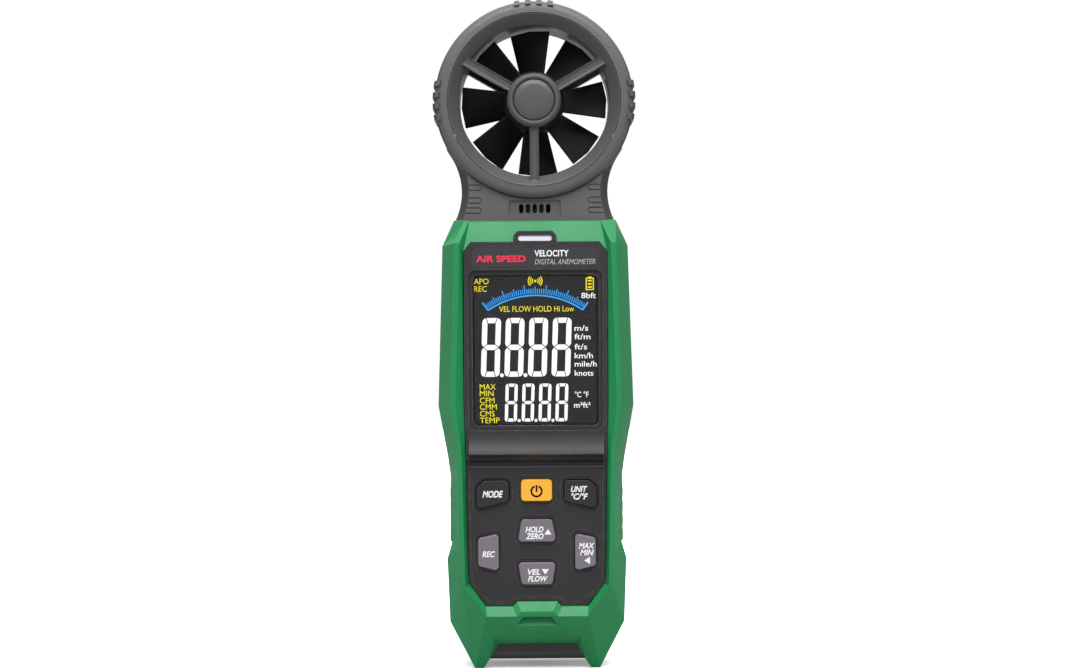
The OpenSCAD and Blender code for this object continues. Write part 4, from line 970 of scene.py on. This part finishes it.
# distances in metres
studio = {
    "floorRadius": 1.6, "floorSides": 96, "floorRoughness": 0.9, "floorGloss": 0.1,
    "floorBounce": 0.42, "floorSeen": 0.96, "fadeNear": -0.05, "fadeFar": 0.17,
    "skyTop": 1.0, "skyFront": 0.55, "skySide": 0.16, "backdrop": 1.02,
    "sideRange": (0.3, 0.85), "riseRange": (0.1, 0.75),
}
lamps = {
    "topSoftbox": dict(place=(0, -0.42, 0.82), size=(0.8, 0.6), power=8.5),
    "leftStrip": dict(place=(-0.7, -0.35, 0.35), size=(0.2, 0.7), power=0.25),
    "rightStrip": dict(place=(0.7, -0.35, 0.35), size=(0.2, 0.7), power=0.25),
    "rearSoftbox": dict(place=(0, 0.7, 0.6), size=(0.7, 0.5), power=4.0),
}
lampTarget = (0, 0, 0.11)
camera = {"distance": 0.645, "height": 0.1096, "side": -0.0005, "lens": 65.2, "roll": 0.37,
          "nearest": 0.01}


def grey(level):
    return (level, level, level)


def makeFloor():
    shape = bmesh.new()
    bmesh.ops.create_circle(shape, cap_ends=True, radius=studio["floorRadius"],
                            segments=studio["floorSides"])
    mesh = bpy.data.meshes.new("floor")
    shape.to_mesh(mesh)
    shape.free()
    floor = bpy.data.objects.new("floor", mesh)
    bpy.context.scene.collection.objects.link(floor)
    material, tree, shader = startFinish(
        "paleFloor", Roughness=studio["floorRoughness"], Specular_IOR_Level=studio["floorGloss"],
        Emission_Strength=1.0)
    seen = tree.nodes.new("ShaderNodeLightPath").outputs["Is Camera Ray"]
    colour = addMix(tree, seen, grey(studio["floorBounce"]), grey(studio["floorSeen"]))
    tree.links.new(colour, shader.inputs["Base Color"])
    # as the camera sees it, the floor fades to the white of the backdrop
    reach = tree.nodes.new("ShaderNodeVectorMath")
    reach.operation = "LENGTH"
    tree.links.new(tree.nodes.new("ShaderNodeTexCoord").outputs["Object"], reach.inputs[0])
    away = addRange(tree, reach.outputs["Value"], studio["fadeNear"], studio["fadeFar"])
    tree.links.new(addMath(tree, "MULTIPLY", away, seen), shader.inputs["Emission Color"])
    mesh.materials.append(material)


def makeSky():
    world = bpy.data.worlds.new("studio")
    bpy.context.scene.world = world
    world.use_nodes = True
    tree = world.node_tree
    tree.nodes.clear()
    result = tree.nodes.new("ShaderNodeOutputWorld")
    background = tree.nodes.new("ShaderNodeBackground")
    split = tree.nodes.new("ShaderNodeSeparateXYZ")
    tree.links.new(tree.nodes.new("ShaderNodeTexCoord").outputs["Generated"], split.inputs[0])
    aside = addMath(tree, "ABSOLUTE", split.outputs["X"], 0)
    level = addRange(tree, aside, *studio["sideRange"], studio["skyFront"], studio["skySide"])
    rise = addRange(tree, split.outputs["Z"], *studio["riseRange"])
    sky = addMix(tree, rise, level, grey(studio["skyTop"]))
    seen = tree.nodes.new("ShaderNodeLightPath").outputs["Is Camera Ray"]
    colour = addMix(tree, seen, sky, grey(studio["backdrop"]))
    tree.links.new(colour, background.inputs["Color"])
    tree.links.new(background.outputs[0], result.inputs[0])


def addLamp(name, place, size, power):
    lamp = bpy.data.lights.new(name, "AREA")
    lamp.shape = "RECTANGLE"
    lamp.size, lamp.size_y = size
    lamp.energy = power
    holder = bpy.data.objects.new(name, lamp)
    holder.location = place
    aim = Vector(lampTarget) - Vector(place)
    holder.rotation_euler = aim.to_track_quat("-Z", "Y").to_euler()
    bpy.context.scene.collection.objects.link(holder)


def addCamera():
    lens = bpy.data.cameras.new("camera")
    lens.lens = camera["lens"]
    lens.clip_start = camera["nearest"]
    viewer = bpy.data.objects.new("camera", lens)
    viewer.location = (camera["side"], -camera["distance"], camera["height"])
    viewer.rotation_euler = (math.radians(90), math.radians(camera["roll"]), 0)
    bpy.context.scene.collection.objects.link(viewer)
    bpy.context.scene.camera = viewer


makeFloor()
makeSky()
for name, lamp in lamps.items():
    addLamp(name, **lamp)
addCamera()
bpy.context.scene.view_settings.view_transform = "Standard"
print("stage, light and camera set")
